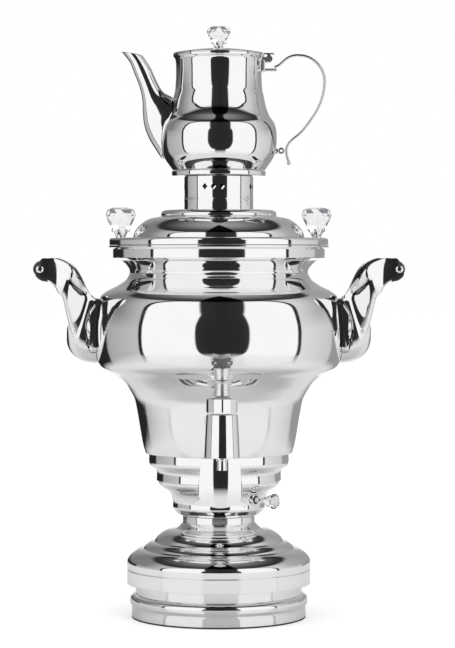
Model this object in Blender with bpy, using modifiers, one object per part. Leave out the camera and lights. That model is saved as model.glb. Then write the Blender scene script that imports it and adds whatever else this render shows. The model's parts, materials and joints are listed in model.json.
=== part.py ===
"""A polished steel samovar: an electric water vessel on a stepped base, with a tap at the front, a
winged handle at each side, and a lid whose perforated chimney carries a teapot.

Metres, +Z up, the tap towards -Y. Every place is worked out from the vessel's axis, and the whole
assembly hangs on one empty that sets the middle of its floor plan on the origin.
"""

import math

import bmesh
import bpy
from mathutils import Matrix, Vector

# Fits that serve the whole assembly
GAP = 0.0003
OVERRUN = 0.003
MERGE_DISTANCE = 0.00001
LEVEL_RUN = 0.1

# How many facets go round a turned piece
ROUND_STEPS = 20
POT_STEPS = 20
SMALL_STEPS = 12
BONNET_FACETS = 12
CRYSTAL_FACETS = 8

# Foot ring and the rubber under it
GASKET_THICKNESS = 0.0012
GASKET_WIDTH = 0.0035
FOOT_RADIUS = 0.0826
FOOT_WALL = 0.0014
FOOT_BAND_HEIGHT = 0.0098
FOOT_BEAD_HEIGHT = 0.0115
FOOT_BEAD_PROUD = 0.0017
FOOT_NECK_INSET = 0.0038
FOOT_NECK_HEIGHT = 0.0092
FOOT_FLANGE_WIDTH = 0.0130
FOOT_CREST_SHARE = 0.42
FOOT_BEAD_UPPER_SHARES = ((0.0, 0.0), (0.55, 0.12), (0.91, 0.47), (1.0, 1.0))
FOOT_BEAD_LOWER_SHARES = ((0.30, 0.60), (1.0, 1.0))

# Stepped base shell, its bottom plate and the tie rod
BASE_PLATE_THICKNESS = 0.0020
SHELL_WALL = 0.0012
SKIRT_PROUD = 0.0045
SKIRT_RADIUS = FOOT_RADIUS + SKIRT_PROUD
SKIRT_HEIGHT = 0.0217
HEM_WIDTH = 0.0111
LOWER_TIER_HEIGHT = 0.0116
MIDDLE_TIER_RADIUS = 0.0716
MIDDLE_TIER_HEIGHT = 0.0066
UPPER_TIER_RADIUS = 0.0614
UPPER_TIER_HEIGHT = 0.0118
FLARE_RADIUS = 0.0420
FLARE_HEIGHT = 0.0062
WAIST_RADIUS = 0.0342
WAIST_HEIGHT = 0.0063
WAIST_FLANGE_WIDTH = 0.0120
TIER_SHARES = ((0.0, 0.0), (0.10, 0.30), (0.33, 0.66), (0.65, 0.92))
FLARE_SHARES = ((0.0, 0.0), (0.22, 0.08), (0.64, 0.53), (1.0, 1.0))
TIE_ROD_RADIUS = 0.0030
TIE_NUT_RADIUS = 0.0062
TIE_NUT_HEIGHT = 0.0050
TIE_ROD_TAIL = 0.0030

# Bowl that joins the base to the vessel and holds the electrics
BOWL_WALL = 0.0012
BOWL_TOP_RADIUS = 0.0575
BOWL_COVE_HEIGHT = 0.0111
BOWL_SHOULDER_RADIUS = 0.0465
BOWL_SIDE_HEIGHT = 0.0086
BOWL_RADIUS = 0.0437
BOWL_BAND_HEIGHT = 0.0060
BOWL_CURVE_HEIGHT = 0.0072
BOWL_FOOT_PROUD = 0.0004
BOWL_FLANGE_WIDTH = 0.0122
BOWL_COVE_SHARES = ((0.0, 0.0), (0.055, 0.243), (0.26, 0.486), (0.655, 0.739), (1.0, 1.0))
BOWL_CURVE_SHARES = ((0.0, 0.0), (0.21, 0.35), (0.47, 0.74), (1.0, 1.0))

# Two-banded collar under the vessel
COLLAR_WALL = 0.0014
COLLAR_LOWER_RADIUS = 0.0593
COLLAR_LOWER_HEIGHT = 0.0086
COLLAR_STEP_HEIGHT = 0.0084
COLLAR_UPPER_RADIUS = 0.0664
COLLAR_UPPER_HEIGHT = 0.0087
COLLAR_FLANGE_WIDTH = 0.0100
COLLAR_STEP_SHARES = ((0.0, 0.0), (0.20, 0.33), (0.80, 0.64), (1.0, 1.0))

# Drip guard under the tap: a bent plate in front of the collar, with a rounded lower edge
GUARD_WALL = 0.0011
GUARD_BEND_RADIUS = 0.0350
GUARD_TOP_HALF_WIDTH = 0.0175
GUARD_HALF_WIDTH = 0.0209
GUARD_HEIGHT = 0.0456
GUARD_ROUND_HEIGHT = 0.0139
GUARD_COLUMNS = 8

# Heating element under the vessel's floor
ELEMENT_RING_RADIUS = 0.0450
ELEMENT_TUBE_RADIUS = 0.0035
ELEMENT_LEG_LENGTH = 0.0110
ELEMENT_SWEEP_DEGREES = 315
ELEMENT_POINTS = 18

# Vessel
VESSEL_WALL = 0.0014
VESSEL_FOOT_RADIUS = 0.0698
CONE_HEIGHT = 0.0510
CONE_RADIUS = 0.0802
UNDERBULGE_HEIGHT = 0.0610
BULGE_RADIUS = 0.1186
OVERBULGE_HEIGHT = 0.0585
NECK_RADIUS = 0.0845
THROAT_HEIGHT = 0.0115
MOUTH_RADIUS = 0.0940
THROAT_SHARES = ((0.0, 0.0), (0.55, 0.39), (0.93, 0.76), (1.0, 1.0))
OVERBULGE_SHARES = (
    (0.10, 0.10),
    (0.331, 0.197),
    (0.654, 0.292),
    (0.833, 0.39),
    (0.962, 0.675),
    (1.0, 1.0),
)
UNDERBULGE_SHARES = (
    (0.042, 0.295),
    (0.159, 0.489),
    (0.505, 0.628),
    (0.779, 0.77),
    (0.927, 0.908),
    (1.0, 1.0),
)
CONE_SHARES = ((0.23, 0.21), (0.78, 0.85), (1.0, 1.0))

# Rim band round the vessel's mouth
BAND_RADIUS = MOUTH_RADIUS + 0.0066
BAND_BORE_RADIUS = MOUTH_RADIUS + 0.0022
BAND_CHAMFER_HEIGHT = 0.0024
BAND_HEIGHT = 0.0083
BAND_STEP_HEIGHT = 0.0016
RIM_RADIUS = MOUTH_RADIUS + 0.0104
RIM_HEIGHT = 0.0018

# Lid
LID_WALL = 0.0012
LID_RADIUS = RIM_RADIUS - 0.0005
LID_BRIM_HEIGHT = 0.0067
LID_BRIM_ROUND = 0.0016
LID_SKIRT_DEPTH = 0.0080
LID_SKIRT_PLAY = 0.0007
LID_DOME_RADIUS = 0.0816
LID_DOME_HEIGHT = 0.0208
LID_CROWN_RADIUS = 0.0548
LID_CROWN_HEIGHT = 0.0055
LID_CROWN_ROUND = 0.0033
LID_HOLE_RADIUS = 0.0300
LID_DOME_SHARES = (
    (0.0, 0.0),
    (0.433, 0.124),
    (0.69, 0.33),
    (0.858, 0.545),
    (0.955, 0.76),
    (1.0, 1.0),
)

# Crystal knobs, each in a ferrule that is riveted through its lid
LID_KNOB_REACH = LID_RADIUS - 0.0111
LID_FERRULE_FOOT_RADIUS = 0.0046
LID_FERRULE_RADIUS = 0.0069
LID_FERRULE_HEIGHT = 0.0078
LID_CRYSTAL_RADIUS = 0.0142
LID_CRYSTAL_HEIGHT = 0.0206
LID_RIVET_RADIUS = 0.0018
LID_RIVET_HEAD_RADIUS = 0.0034
LID_RIVET_HEAD_HEIGHT = 0.0014
POT_FERRULE_FOOT_RADIUS = 0.0042
POT_FERRULE_RADIUS = 0.0058
POT_FERRULE_HEIGHT = 0.0052
POT_CRYSTAL_RADIUS = 0.0113
POT_CRYSTAL_HEIGHT = 0.0149
POT_RIVET_RADIUS = 0.0016
POT_RIVET_HEAD_RADIUS = 0.0030
POT_RIVET_HEAD_HEIGHT = 0.0012
FERRULE_SHARES = ((1.0, 1.0), (0.90, 0.55), (0.0, 0.12), (0.0, 0.0))
CRYSTAL_SHARES = ((0.62, 1.0), (0.93, 0.93), (1.0, 0.72))

# Chimney and the ring on it that carries the teapot
CHIMNEY_RADIUS = 0.0328
CHIMNEY_WALL = 0.0014
CHIMNEY_HEIGHT = 0.0316
DIAMOND_WIDTH = 0.0040
DIAMOND_HEIGHT = 0.0066
DIAMOND_DROP = 0.0100
DIAMONDS_IN_GROUP = 3
DIAMOND_GROUPS = 4
DIAMOND_SIDES = 4
DIAMOND_STEP_DEGREES = 14.5
DIAMOND_TURN_DEGREES = -10.3
STAND_RADIUS = 0.0446
STAND_HEIGHT = 0.0051
STAND_ROUND = 0.0008
STAND_SPIGOT_DEPTH = 0.0060
STAND_SPIGOT_WALL = 0.0016

# Teapot
POT_WALL = 0.0012
POT_FOOT_RADIUS = 0.0437
POT_BELLY_RADIUS = 0.0550
POT_BELLY_HEIGHT = 0.0297
POT_SHOULDER_HEIGHT = 0.0470
POT_NECK_RADIUS = 0.0413
POT_NECK_HEIGHT = 0.0281
POT_FLARE_HEIGHT = 0.0026
POT_RIM_HEIGHT = 0.0018
POT_RIM_PROUD = 0.0019
POT_BELLY_SHARES = ((0.0, 0.0), (0.168, 0.09), (0.54, 0.286), (0.83, 0.51), (0.97, 0.76), (1.0, 1.0))
POT_SHOULDER_SHARES = (
    (0.03, 0.18),
    (0.17, 0.325),
    (0.482, 0.457),
    (0.75, 0.66),
    (0.90, 0.87),
    (1.0, 1.0),
)
POT_LID_WALL = 0.0011
POT_LID_EDGE_HEIGHT = 0.0012
POT_LID_RISE = 0.0050
POT_LID_FLAT_RADIUS = 0.0060
POT_LID_SKIRT_DEPTH = 0.0040
POT_LID_SKIRT_PLAY = 0.0008

# Teapot spout: each ring runs from a lower to an upper edge, given as shares of reach and height
SPOUT_REACH = 0.0915
SPOUT_HEIGHT = 0.1117
SPOUT_HALF_WIDTH = 0.0130
SPOUT_WALL = 0.0012
SPOUT_SIDES = 14
SPOUT_PORT_RADIUS = 0.0080
SPOUT_PORT_LEVEL = 0.0345
# Shares: lower edge out and up, upper edge out and up, then half width
SPOUT_SHARES = (
    (0.481, 0.112, 0.328, 0.416, 0.85),
    (0.578, 0.098, 0.361, 0.452, 0.96),
    (0.658, 0.184, 0.372, 0.506, 1.0),
    (0.727, 0.281, 0.393, 0.560, 0.96),
    (0.772, 0.387, 0.426, 0.595, 0.85),
    (0.786, 0.509, 0.492, 0.627, 0.715),
    (0.791, 0.606, 0.573, 0.665, 0.63),
    (0.822, 0.713, 0.638, 0.752, 0.585),
    (0.871, 0.817, 0.697, 0.859, 0.56),
    (0.920, 0.915, 0.741, 0.918, 0.555),
    (1.0, 1.0, 0.783, 0.968, 0.585),
)

# Teapot handle: a bent strap from an arm near the rim down past an eye on the belly
STRAP_THICKNESS = 0.0024
STRAP_WIDTH = 0.0120
STRAP_REACH = 0.0368
STRAP_HEIGHT = 0.0901
# Shares of the strap's reach and height from the eye, from its tail up and over to the arm
STRAP_SHARES = (
    (0.08, -0.127),
    (0.03, -0.067),
    (0.0, 0.0),
    (0.046, 0.067),
    (0.133, 0.108),
    (0.359, 0.18),
    (0.582, 0.291),
    (0.78, 0.413),
    (0.908, 0.526),
    (0.981, 0.648),
    (1.0, 0.729),
    (0.957, 0.822),
    (0.88, 0.883),
    (0.758, 0.933),
    (0.557, 0.984),
    (0.359, 1.0),
    (0.158, 0.994),
    (0.008, 0.964),
    (-0.141, 0.909),
)
STRAP_LAP = 0.0024
SOCKET_HALF_WIDTH = 0.0070
SOCKET_FACE = POT_NECK_RADIUS + 0.0023
SOCKET_DROP = 0.0042
SOCKET_HEIGHT = 0.0118
ARM_REACH = POT_NECK_RADIUS + 0.0137
ARM_HALF_WIDTH = 0.0045
ARM_DROP = 0.0129
ARM_HEIGHT = 0.0024
EYE_REACH = POT_BELLY_RADIUS + 0.0041
EYE_RADIUS = 0.0030
EYE_HALF_WIDTH = 0.0050
EYE_HEIGHT = 0.0187
EYE_STEM_RADIUS = 0.0016
EYE_PAD_RADIUS = 0.0029
EYE_PAD_PROUD = 0.0014
HINGE_REACH = POT_NECK_RADIUS + 0.0061
HINGE_DROP = 0.0039
HINGE_RADIUS = 0.0032
HINGE_PIN_RADIUS = 0.0012
HINGE_HALF_WIDTH = 0.0075
HINGE_LEAF_HALF_WIDTH = 0.0025
HINGE_SIDE_PLAY = 0.0005
HINGE_WEB_INSET = 0.0016
HINGE_LEAF_REACH = POT_NECK_RADIUS + 0.0103
HINGE_LEAF_ROOT = POT_NECK_RADIUS - 0.0013
HINGE_LEAF_THICKNESS = 0.0013
HINGE_PIN_OVERHANG = 0.0006

# Tap
TAP_RISE = 0.0344
TAP_STANDOFF = 0.0107
TAP_BODY_DROP = 0.0285
TAP_BODY_RISE = 0.0103
TAP_TOP_RADIUS = 0.0143
TAP_BOTTOM_RADIUS = 0.0162
SHANK_RADIUS = 0.0075
SHANK_ROOT = 0.0090
SHANK_TAIL = 0.0030
FLOW_RADIUS = 0.0020
PLUG_RADIUS = 0.0062
PLUG_DROP = 0.0080
ROSETTE_RADIUS = 0.0150
ROSETTE_FACE_RADIUS = 0.0112
ROSETTE_PROUD = 0.0056
ROSETTE_EDGE = 0.0030
WASHER_RADIUS = 0.0130
WASHER_THICKNESS = 0.0045
TAP_NUT_RADIUS = 0.0140
TAP_NUT_THICKNESS = 0.0050
BONNET_RADIUS = 0.0141
BONNET_HEIGHT = 0.0154
BONNET_CHAMFER = 0.0014
STEM_RADIUS = 0.0040
STEM_RISE = 0.0070
SPOOL_RADIUS = 0.0075
SPOOL_RING_RADIUS = 0.0082
SPOOL_THROAT_RADIUS = 0.0064
SPOOL_HEIGHT = 0.0260
SPOOL_RING_HEIGHT = 0.0020
SPOOL_RING_RISE = 0.0125
SPOOL_SOCKET_PLAY = 0.0006
KEY_HALF_WIDTH = 0.0097
KEY_HEIGHT = 0.0104
KEY_SINK = 0.0015
KEY_THICKNESS = 0.0046
KEY_SHARES = (
    (-0.60, 0.0),
    (-0.92, 0.24),
    (-1.0, 0.92),
    (-0.80, 1.0),
    (-0.42, 0.90),
    (0.0, 0.84),
    (0.42, 0.90),
    (0.80, 1.0),
    (1.0, 0.92),
    (0.92, 0.24),
    (0.60, 0.0),
)
NOZZLE_RADIUS = 0.0047
NOZZLE_COLLAR_RADIUS = 0.0056
NOZZLE_COLLAR_HEIGHT = 0.0018
NOZZLE_LENGTH = 0.0112
SPIGOT_RADIUS = 0.0038
SPIGOT_DEPTH = 0.0060

# Temperature control at the front of the bowl
CONTROL_AZIMUTH_DEGREES = 46
CONTROL_RISE = 0.0172
BUSHING_RADIUS = 0.0032
BUSHING_FLANGE_RADIUS = 0.0052
BUSHING_PROUD = 0.0022
BUSHING_SEAT = 0.0030
BUSHING_TAIL = 0.0030
SPINDLE_RADIUS = 0.0016
SPINDLE_TAIL = 0.0055
SPINDLE_NECK = 0.0070
CONTROL_FERRULE_FOOT_RADIUS = 0.0022
CONTROL_FERRULE_RADIUS = 0.0058
CONTROL_FERRULE_LENGTH = 0.0110
CONTROL_FERRULE_SHARES = ((1.0, 1.0), (0.85, 0.86), (0.0, 0.15), (0.0, 0.0))
CONTROL_CRYSTAL_RADIUS = 0.0074
CONTROL_CRYSTAL_LENGTH = 0.0072
THERMOSTAT_SETBACK = 0.0090
THERMOSTAT_DEPTH = 0.0200
THERMOSTAT_HALF_WIDTH = 0.0100
THERMOSTAT_HALF_HEIGHT = 0.0080
THERMOSTAT_BORE_DEPTH = 0.0060

# Mains inlet at the back of the bowl
INLET_RISE = 0.0142
INLET_HALF_WIDTH = 0.0130
INLET_HALF_HEIGHT = 0.0068
INLET_LIP = 0.0015
INLET_PROUD = 0.0060
INLET_DEPTH = 0.0220
INLET_WALL = 0.0018
INLET_RECESS_DEPTH = 0.0150
PIN_RADIUS = 0.0013
PIN_LENGTH = 0.0090
PIN_ROOT = 0.0040
PIN_SPACING = 0.0065
PIN_STAGGER = 0.0020

# Handles: a pad on the vessel, two wings, a cup under them and a grip between their tips
PAD_RISE = 0.0340
PAD_DROP = 0.0160
PAD_PROUD = 0.0098
PAD_ROOT = 0.0150
PAD_FACETS = 6
PAD_FACET_DEGREES = 4.5
# Shares of the pad's proudness over the bulge, and of its height, from the top down
PAD_SHARES = (
    (-0.10, 1.0),
    (0.10, 0.94),
    (0.68, 0.76),
    (0.98, 0.56),
    (1.0, 0.40),
    (0.88, 0.20),
    (0.66, 0.08),
    (0.40, 0.0),
)
HANDLE_REACH = 0.0526
HANDLE_RISE = 0.0723
WING_ROOT_SPREAD = 0.0235
WING_TIP_SPREAD = 0.0490
WING_THICKNESS = 0.0020
WING_ROWS = 3
# Shares of the handle's reach and rise: upper edge, then lower edge, then the share of the spread
WING_SHARES = (
    (-0.087, 0.443, -0.030, -0.160, 0.0),
    (0.074, 0.531, 0.236, -0.105, 0.05),
    (0.167, 0.638, 0.356, 0.012, 0.18),
    (0.249, 0.757, 0.443, 0.250, 0.44),
    (0.350, 0.871, 0.508, 0.484, 0.73),
    (0.479, 0.950, 0.586, 0.553, 0.89),
    (0.665, 1.0, 0.655, 0.640, 0.98),
    (0.779, 1.0, 0.772, 0.694, 1.0),
    (0.882, 0.994, 0.892, 0.714, 1.0),
    (0.960, 0.910, 0.973, 0.757, 1.0),
    (1.0, 0.864, 1.0, 0.795, 1.0),
)
GRIP_INSET = 0.0045
GRIP_DROP = 0.0101
GRIP_END_RADIUS = 0.0044
GRIP_RADIUS = 0.0080
GRIP_SHARES = ((0.0, 1.0), (0.45, 0.86), (1.0, 0.50), (1.0, -0.50), (0.45, -0.86), (0.0, -1.0))
SCREW_RADIUS = 0.0019
SCREW_HEAD_RADIUS = 0.0041
SCREW_HEAD_HEIGHT = 0.0022
SCREW_LENGTH = 0.0120
SCREW_DOME_SHARES = ((0.45, 1.0), (0.85, 0.62), (1.0, 0.0))
CUP_THICKNESS = 0.0018
CUP_COLUMNS = 8
CUP_REACH = 0.0244
CUP_DROP = 0.0262
CUP_EDGE_SHARE = 0.93
# Each ring of the cup: wing station, then shares of the cup's reach and drop from the bulge
CUP_SHARES = (
    (0.15, -0.27, 1.0),
    (0.50, 0.14, 0.977),
    (1.00, 0.53, 0.866),
    (1.50, 0.836, 0.63),
    (2.00, 1.0, 0.305),
    (2.50, 1.0, -0.153),
)

# Heights at which the stacked pieces begin, from the floor up
FOOT_BOTTOM = GASKET_THICKNESS + GAP
FOOT_TOP = FOOT_BOTTOM + FOOT_BAND_HEIGHT + FOOT_BEAD_HEIGHT + FOOT_NECK_HEIGHT
SHELL_BOTTOM = FOOT_TOP + GAP
SKIRT_TOP = SHELL_BOTTOM + SKIRT_HEIGHT
TIERS_TOP = SKIRT_TOP + LOWER_TIER_HEIGHT + MIDDLE_TIER_HEIGHT + UPPER_TIER_HEIGHT
SHELL_TOP = TIERS_TOP + FLARE_HEIGHT + WAIST_HEIGHT
BOWL_BOTTOM = SHELL_TOP + GAP
BOWL_TOP = BOWL_BOTTOM + BOWL_CURVE_HEIGHT + BOWL_BAND_HEIGHT + BOWL_SIDE_HEIGHT + BOWL_COVE_HEIGHT
COLLAR_BOTTOM = BOWL_TOP + GAP
COLLAR_TOP = COLLAR_BOTTOM + COLLAR_LOWER_HEIGHT + COLLAR_STEP_HEIGHT + COLLAR_UPPER_HEIGHT
VESSEL_BOTTOM = COLLAR_TOP + GAP
BULGE_LEVEL = VESSEL_BOTTOM + CONE_HEIGHT + UNDERBULGE_HEIGHT
VESSEL_TOP = BULGE_LEVEL + OVERBULGE_HEIGHT + THROAT_HEIGHT
BAND_BOTTOM = VESSEL_TOP + GAP
BAND_TOP = BAND_BOTTOM + BAND_CHAMFER_HEIGHT + BAND_HEIGHT + BAND_STEP_HEIGHT + RIM_HEIGHT
LID_BOTTOM = BAND_TOP + GAP
BRIM_TOP = LID_BOTTOM + LID_BRIM_HEIGHT
LID_TOP = BRIM_TOP + LID_DOME_HEIGHT + LID_CROWN_HEIGHT
CHIMNEY_BOTTOM = LID_TOP + GAP
CHIMNEY_TOP = CHIMNEY_BOTTOM + CHIMNEY_HEIGHT
STAND_BOTTOM = CHIMNEY_TOP + GAP
STAND_TOP = STAND_BOTTOM + STAND_HEIGHT
POT_BOTTOM = STAND_TOP + GAP
POT_NECK_BOTTOM = POT_BOTTOM + POT_BELLY_HEIGHT + POT_SHOULDER_HEIGHT
POT_TOP = POT_NECK_BOTTOM + POT_NECK_HEIGHT + POT_FLARE_HEIGHT + POT_RIM_HEIGHT
POT_LID_BOTTOM = POT_TOP + GAP
POT_LID_EDGE = POT_LID_BOTTOM + POT_LID_EDGE_HEIGHT
POT_LID_TOP = POT_LID_EDGE + POT_LID_RISE
TAP_LEVEL = VESSEL_BOTTOM + TAP_RISE
CONTROL_LEVEL = BOWL_BOTTOM + CONTROL_RISE
INLET_LEVEL = BOWL_BOTTOM + INLET_RISE
HINGE_LEVEL = POT_TOP - HINGE_DROP

# Sizes of each knob: ferrule's foot, ferrule, its height, crystal, its height, rivet, head, its height
LID_KNOB = (
    LID_FERRULE_FOOT_RADIUS,
    LID_FERRULE_RADIUS,
    LID_FERRULE_HEIGHT,
    LID_CRYSTAL_RADIUS,
    LID_CRYSTAL_HEIGHT,
    LID_RIVET_RADIUS,
    LID_RIVET_HEAD_RADIUS,
    LID_RIVET_HEAD_HEIGHT,
)
POT_KNOB = (
    POT_FERRULE_FOOT_RADIUS,
    POT_FERRULE_RADIUS,
    POT_FERRULE_HEIGHT,
    POT_CRYSTAL_RADIUS,
    POT_CRYSTAL_HEIGHT,
    POT_RIVET_RADIUS,
    POT_RIVET_HEAD_RADIUS,
    POT_RIVET_HEAD_HEIGHT,
)

# Colour, roughness and metallic of each finish
FINISHES = {
    "polished steel": ((0.80, 0.80, 0.81), 0.07, 1.0),
    "dull steel": ((0.55, 0.55, 0.56), 0.35, 1.0),
    "crystal": ((0.93, 0.92, 0.96), 0.04, 0.0),
    "black plastic": ((0.03, 0.03, 0.03), 0.40, 0.0),
    "rubber": ((0.02, 0.02, 0.02), 0.80, 0.0),
    "element sheath": ((0.32, 0.31, 0.30), 0.45, 1.0),
    "brass": ((0.72, 0.58, 0.32), 0.25, 1.0),
}


def clear_scene():
    for obj in list(bpy.data.objects):
        bpy.data.objects.remove(obj, do_unlink=True)


def new_collection(name):
    collection = bpy.data.collections.new(name)
    bpy.context.scene.collection.children.link(collection)
    return collection


def new_empty(name, place, parent=None):
    """An empty at a place in the vessel's own frame. A joint's empty lies on the joint's axis."""
    empty = bpy.data.objects.new(name, None)
    empty.location = place
    empty.parent = parent
    PARTS.objects.link(empty)
    return empty


def material_of(name, finish):
    colour, roughness, metallic = FINISHES[finish]
    material = bpy.data.materials.new(name)
    material.use_nodes = True
    shader = material.node_tree.nodes["Principled BSDF"]
    shader.inputs["Base Color"].default_value = (*colour, 1.0)
    shader.inputs["Roughness"].default_value = roughness
    shader.inputs["Metallic"].default_value = metallic
    return material


def hang(obj, empty, place, rotation=(0, 0, 0)):
    """Parents the object to an empty, with its place given in the vessel's own frame."""
    obj.parent = empty
    obj.location = place
    if empty is not ROOT:
        obj.location -= empty.location
    obj.rotation_euler = rotation
    return obj


def part(name, mesh, finish, empty, place=(0, 0, 0), rotation=(0, 0, 0)):
    obj = bpy.data.objects.new(name, mesh)
    mesh.materials.append(material_of(name, finish))
    PARTS.objects.link(obj)
    return hang(obj, empty, place, rotation)


def cutter(name, mesh, place=(0, 0, 0), rotation=(0, 0, 0)):
    obj = bpy.data.objects.new(name, mesh)
    obj.hide_render = True
    obj.display_type = "WIRE"
    CUTTERS.objects.link(obj)
    return hang(obj, ROOT, place, rotation)


def combine(obj, other, operation):
    boolean = obj.modifiers.new(other.name, "BOOLEAN")
    boolean.operation = operation
    boolean.object = other
    return obj


def cut(obj, *tools):
    for tool in tools:
        combine(obj, tool, "DIFFERENCE")
    return obj


def join(obj, *pieces):
    for piece in pieces:
        combine(obj, piece, "UNION")
    return obj


def stretch(start, end, shares):
    """Points between two (radius, height) places, each by its shares of the way in radius and height."""
    return [
        (start[0] + (end[0] - start[0]) * across, start[1] + (end[1] - start[1]) * along)
        for across, along in shares
    ]


def moved_path(path, distance):
    """The path moved to the right of its run, which is inwards on a side that runs down.

    An end keeps its height, unless its own run is level.
    """
    runs = [(Vector(after) - Vector(before)).normalized() for before, after in zip(path, path[1:])]
    last = len(path) - 1
    moved = []
    for i, point in enumerate(path):
        before = runs[max(i - 1, 0)]
        after = runs[min(i, len(runs) - 1)]
        across = Vector((before.y, -before.x))
        middle = (across + Vector((after.y, -after.x))).normalized()
        if i in (0, last) and abs(before.y) > LEVEL_RUN:
            middle = Vector((1, 0))
        moved.append(tuple(Vector(point) + middle * distance / middle.dot(across)))
    return moved


def sheet_outline(path, wall):
    """The closed section of a sheet whose outer side follows the path, top to bottom."""
    return moved_path(path, wall)[::-1] + path


def solid_outline(path):
    """The section of a solid of revolution whose outer side follows the path, top to bottom."""
    return [(0, path[0][1]), *path, (0, path[-1][1])]


def radius_at(path, height):
    """The radius of a path that runs steadily down, at a height between its ends."""
    for upper, lower in zip(path, path[1:]):
        if lower[1] <= height <= upper[1] and upper[1] > lower[1]:
            share = (height - lower[1]) / (upper[1] - lower[1])
            return lower[0] + (upper[0] - lower[0]) * share
    return path[-1][0]


def profile_mesh(name, outline):
    """The outline as a chain of edges, closed into a loop where it stays off the axis."""
    mesh = bpy.data.meshes.new(name)
    edges = [(i, i + 1) for i in range(len(outline) - 1)]
    if outline[0][0] > 0:
        edges.append((len(outline) - 1, 0))
    mesh.from_pydata([(radius, 0, height) for radius, height in outline], edges, [])
    return mesh


def spin(obj, steps):
    screw = obj.modifiers.new("Spin", "SCREW")
    screw.angle = math.tau
    screw.steps = steps
    screw.render_steps = steps
    screw.use_merge_vertices = True
    screw.merge_threshold = MERGE_DISTANCE
    screw.use_smooth_shade = steps > CRYSTAL_FACETS
    return obj


def turned(name, outline, finish, empty, steps=ROUND_STEPS, place=(0, 0, 0), rotation=(0, 0, 0)):
    return spin(part(name, profile_mesh(name, outline), finish, empty, place, rotation), steps)


def turned_cutter(name, outline, steps=ROUND_STEPS, place=(0, 0, 0), rotation=(0, 0, 0)):
    return spin(cutter(name, profile_mesh(name, outline), place, rotation), steps)


def mesh_from(name, bm, smooth=False):
    bmesh.ops.recalc_face_normals(bm, faces=bm.faces)
    mesh = bpy.data.meshes.new(name)
    bm.to_mesh(mesh)
    bm.free()
    if smooth:
        mesh.shade_smooth()
        mesh.set_sharp_from_angle(angle=math.radians(40))
    return mesh


def rod_mesh(name, start, end, radius, steps=SMALL_STEPS):
    start, end = Vector(start), Vector(end)
    along = end - start
    turn = along.to_track_quat("Z", "Y").to_matrix().to_4x4()
    bm = bmesh.new()
    bmesh.ops.create_cone(
        bm,
        cap_ends=True,
        segments=steps,
        radius1=radius,
        radius2=radius,
        depth=along.length,
        matrix=Matrix.Translation((start + end) / 2) @ turn,
    )
    return mesh_from(name, bm, smooth=True)


def rod_cutter(name, start, end, radius, steps=SMALL_STEPS):
    return cutter(name, rod_mesh(name, start, end, radius, steps))


def box_mesh(name, low, high, turn=0):
    """A box between two corners, then turned about the vertical axis."""
    low, high = Vector(low), Vector(high)
    bm = bmesh.new()
    bmesh.ops.create_cube(bm, size=1)
    bmesh.ops.scale(bm, vec=high - low, verts=bm.verts)
    bmesh.ops.translate(bm, vec=(low + high) / 2, verts=bm.verts)
    bmesh.ops.rotate(bm, cent=(0, 0, 0), matrix=Matrix.Rotation(turn, 3, "Z"), verts=bm.verts)
    return mesh_from(name, bm)


def box_cutter(name, low, high):
    return cutter(name, box_mesh(name, low, high))


def mesh_of_curve(name, curve):
    """The curve's surface as a welded mesh."""
    guide = bpy.data.objects.new(name, curve)
    CUTTERS.objects.link(guide)
    graph = bpy.context.evaluated_depsgraph_get()
    drawn = bpy.data.meshes.new_from_object(guide.evaluated_get(graph))
    bpy.data.objects.remove(guide)
    bm = bmesh.new()
    bm.from_mesh(drawn)
    bpy.data.meshes.remove(drawn)
    bmesh.ops.remove_doubles(bm, verts=bm.verts, dist=MERGE_DISTANCE)
    return bm


def outline_mesh(name, points, half_width):
    """A flat outline in the XZ plane with some width each way along Y."""
    curve = bpy.data.curves.new(name, "CURVE")
    curve.dimensions = "2D"
    curve.fill_mode = "BOTH"
    curve.extrude = half_width
    spline = curve.splines.new("POLY")
    spline.points.add(len(points) - 1)
    for point, (across, up) in zip(spline.points, points):
        point.co = (across, up, 0, 1)
    spline.use_cyclic_u = True
    bm = mesh_of_curve(name, curve)
    bmesh.ops.rotate(bm, cent=(0, 0, 0), matrix=Matrix.Rotation(math.pi / 2, 3, "X"), verts=bm.verts)
    return mesh_from(name, bm, smooth=True)


def tube_mesh(name, path, radius):
    """A round tube along a path, with closed ends."""
    curve = bpy.data.curves.new(name, "CURVE")
    curve.dimensions = "3D"
    curve.bevel_depth = radius
    curve.bevel_resolution = 2
    curve.use_fill_caps = True
    spline = curve.splines.new("POLY")
    spline.points.add(len(path) - 1)
    for point, place in zip(spline.points, path):
        point.co = (*place, 1)
    return mesh_from(name, mesh_of_curve(name, curve), smooth=True)


def loft_mesh(name, rings):
    """A solid through rings of as many points each, closed by a face at each end."""
    bm = bmesh.new()
    rows = [[bm.verts.new(point) for point in ring] for ring in rings]
    for lower, upper in zip(rows, rows[1:]):
        for i in range(len(lower)):
            after = (i + 1) % len(lower)
            bm.faces.new((lower[i], lower[after], upper[after], upper[i]))
    bm.faces.new(rows[0])
    bm.faces.new(rows[-1])
    return mesh_from(name, bm, smooth=True)


def sheet_mesh(name, rows):
    """An open sheet through rows of points."""
    bm = bmesh.new()
    grid = [[bm.verts.new(point) for point in row] for row in rows]
    for row, after in zip(grid, grid[1:]):
        for i in range(len(row) - 1):
            bm.faces.new((row[i], row[i + 1], after[i + 1], after[i]))
    return mesh_from(name, bm, smooth=True)


def solidify(obj, thickness):
    solid = obj.modifiers.new("Sheet", "SOLIDIFY")
    solid.thickness = thickness
    solid.offset = 0
    solid.use_even_offset = True
    return obj


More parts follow.
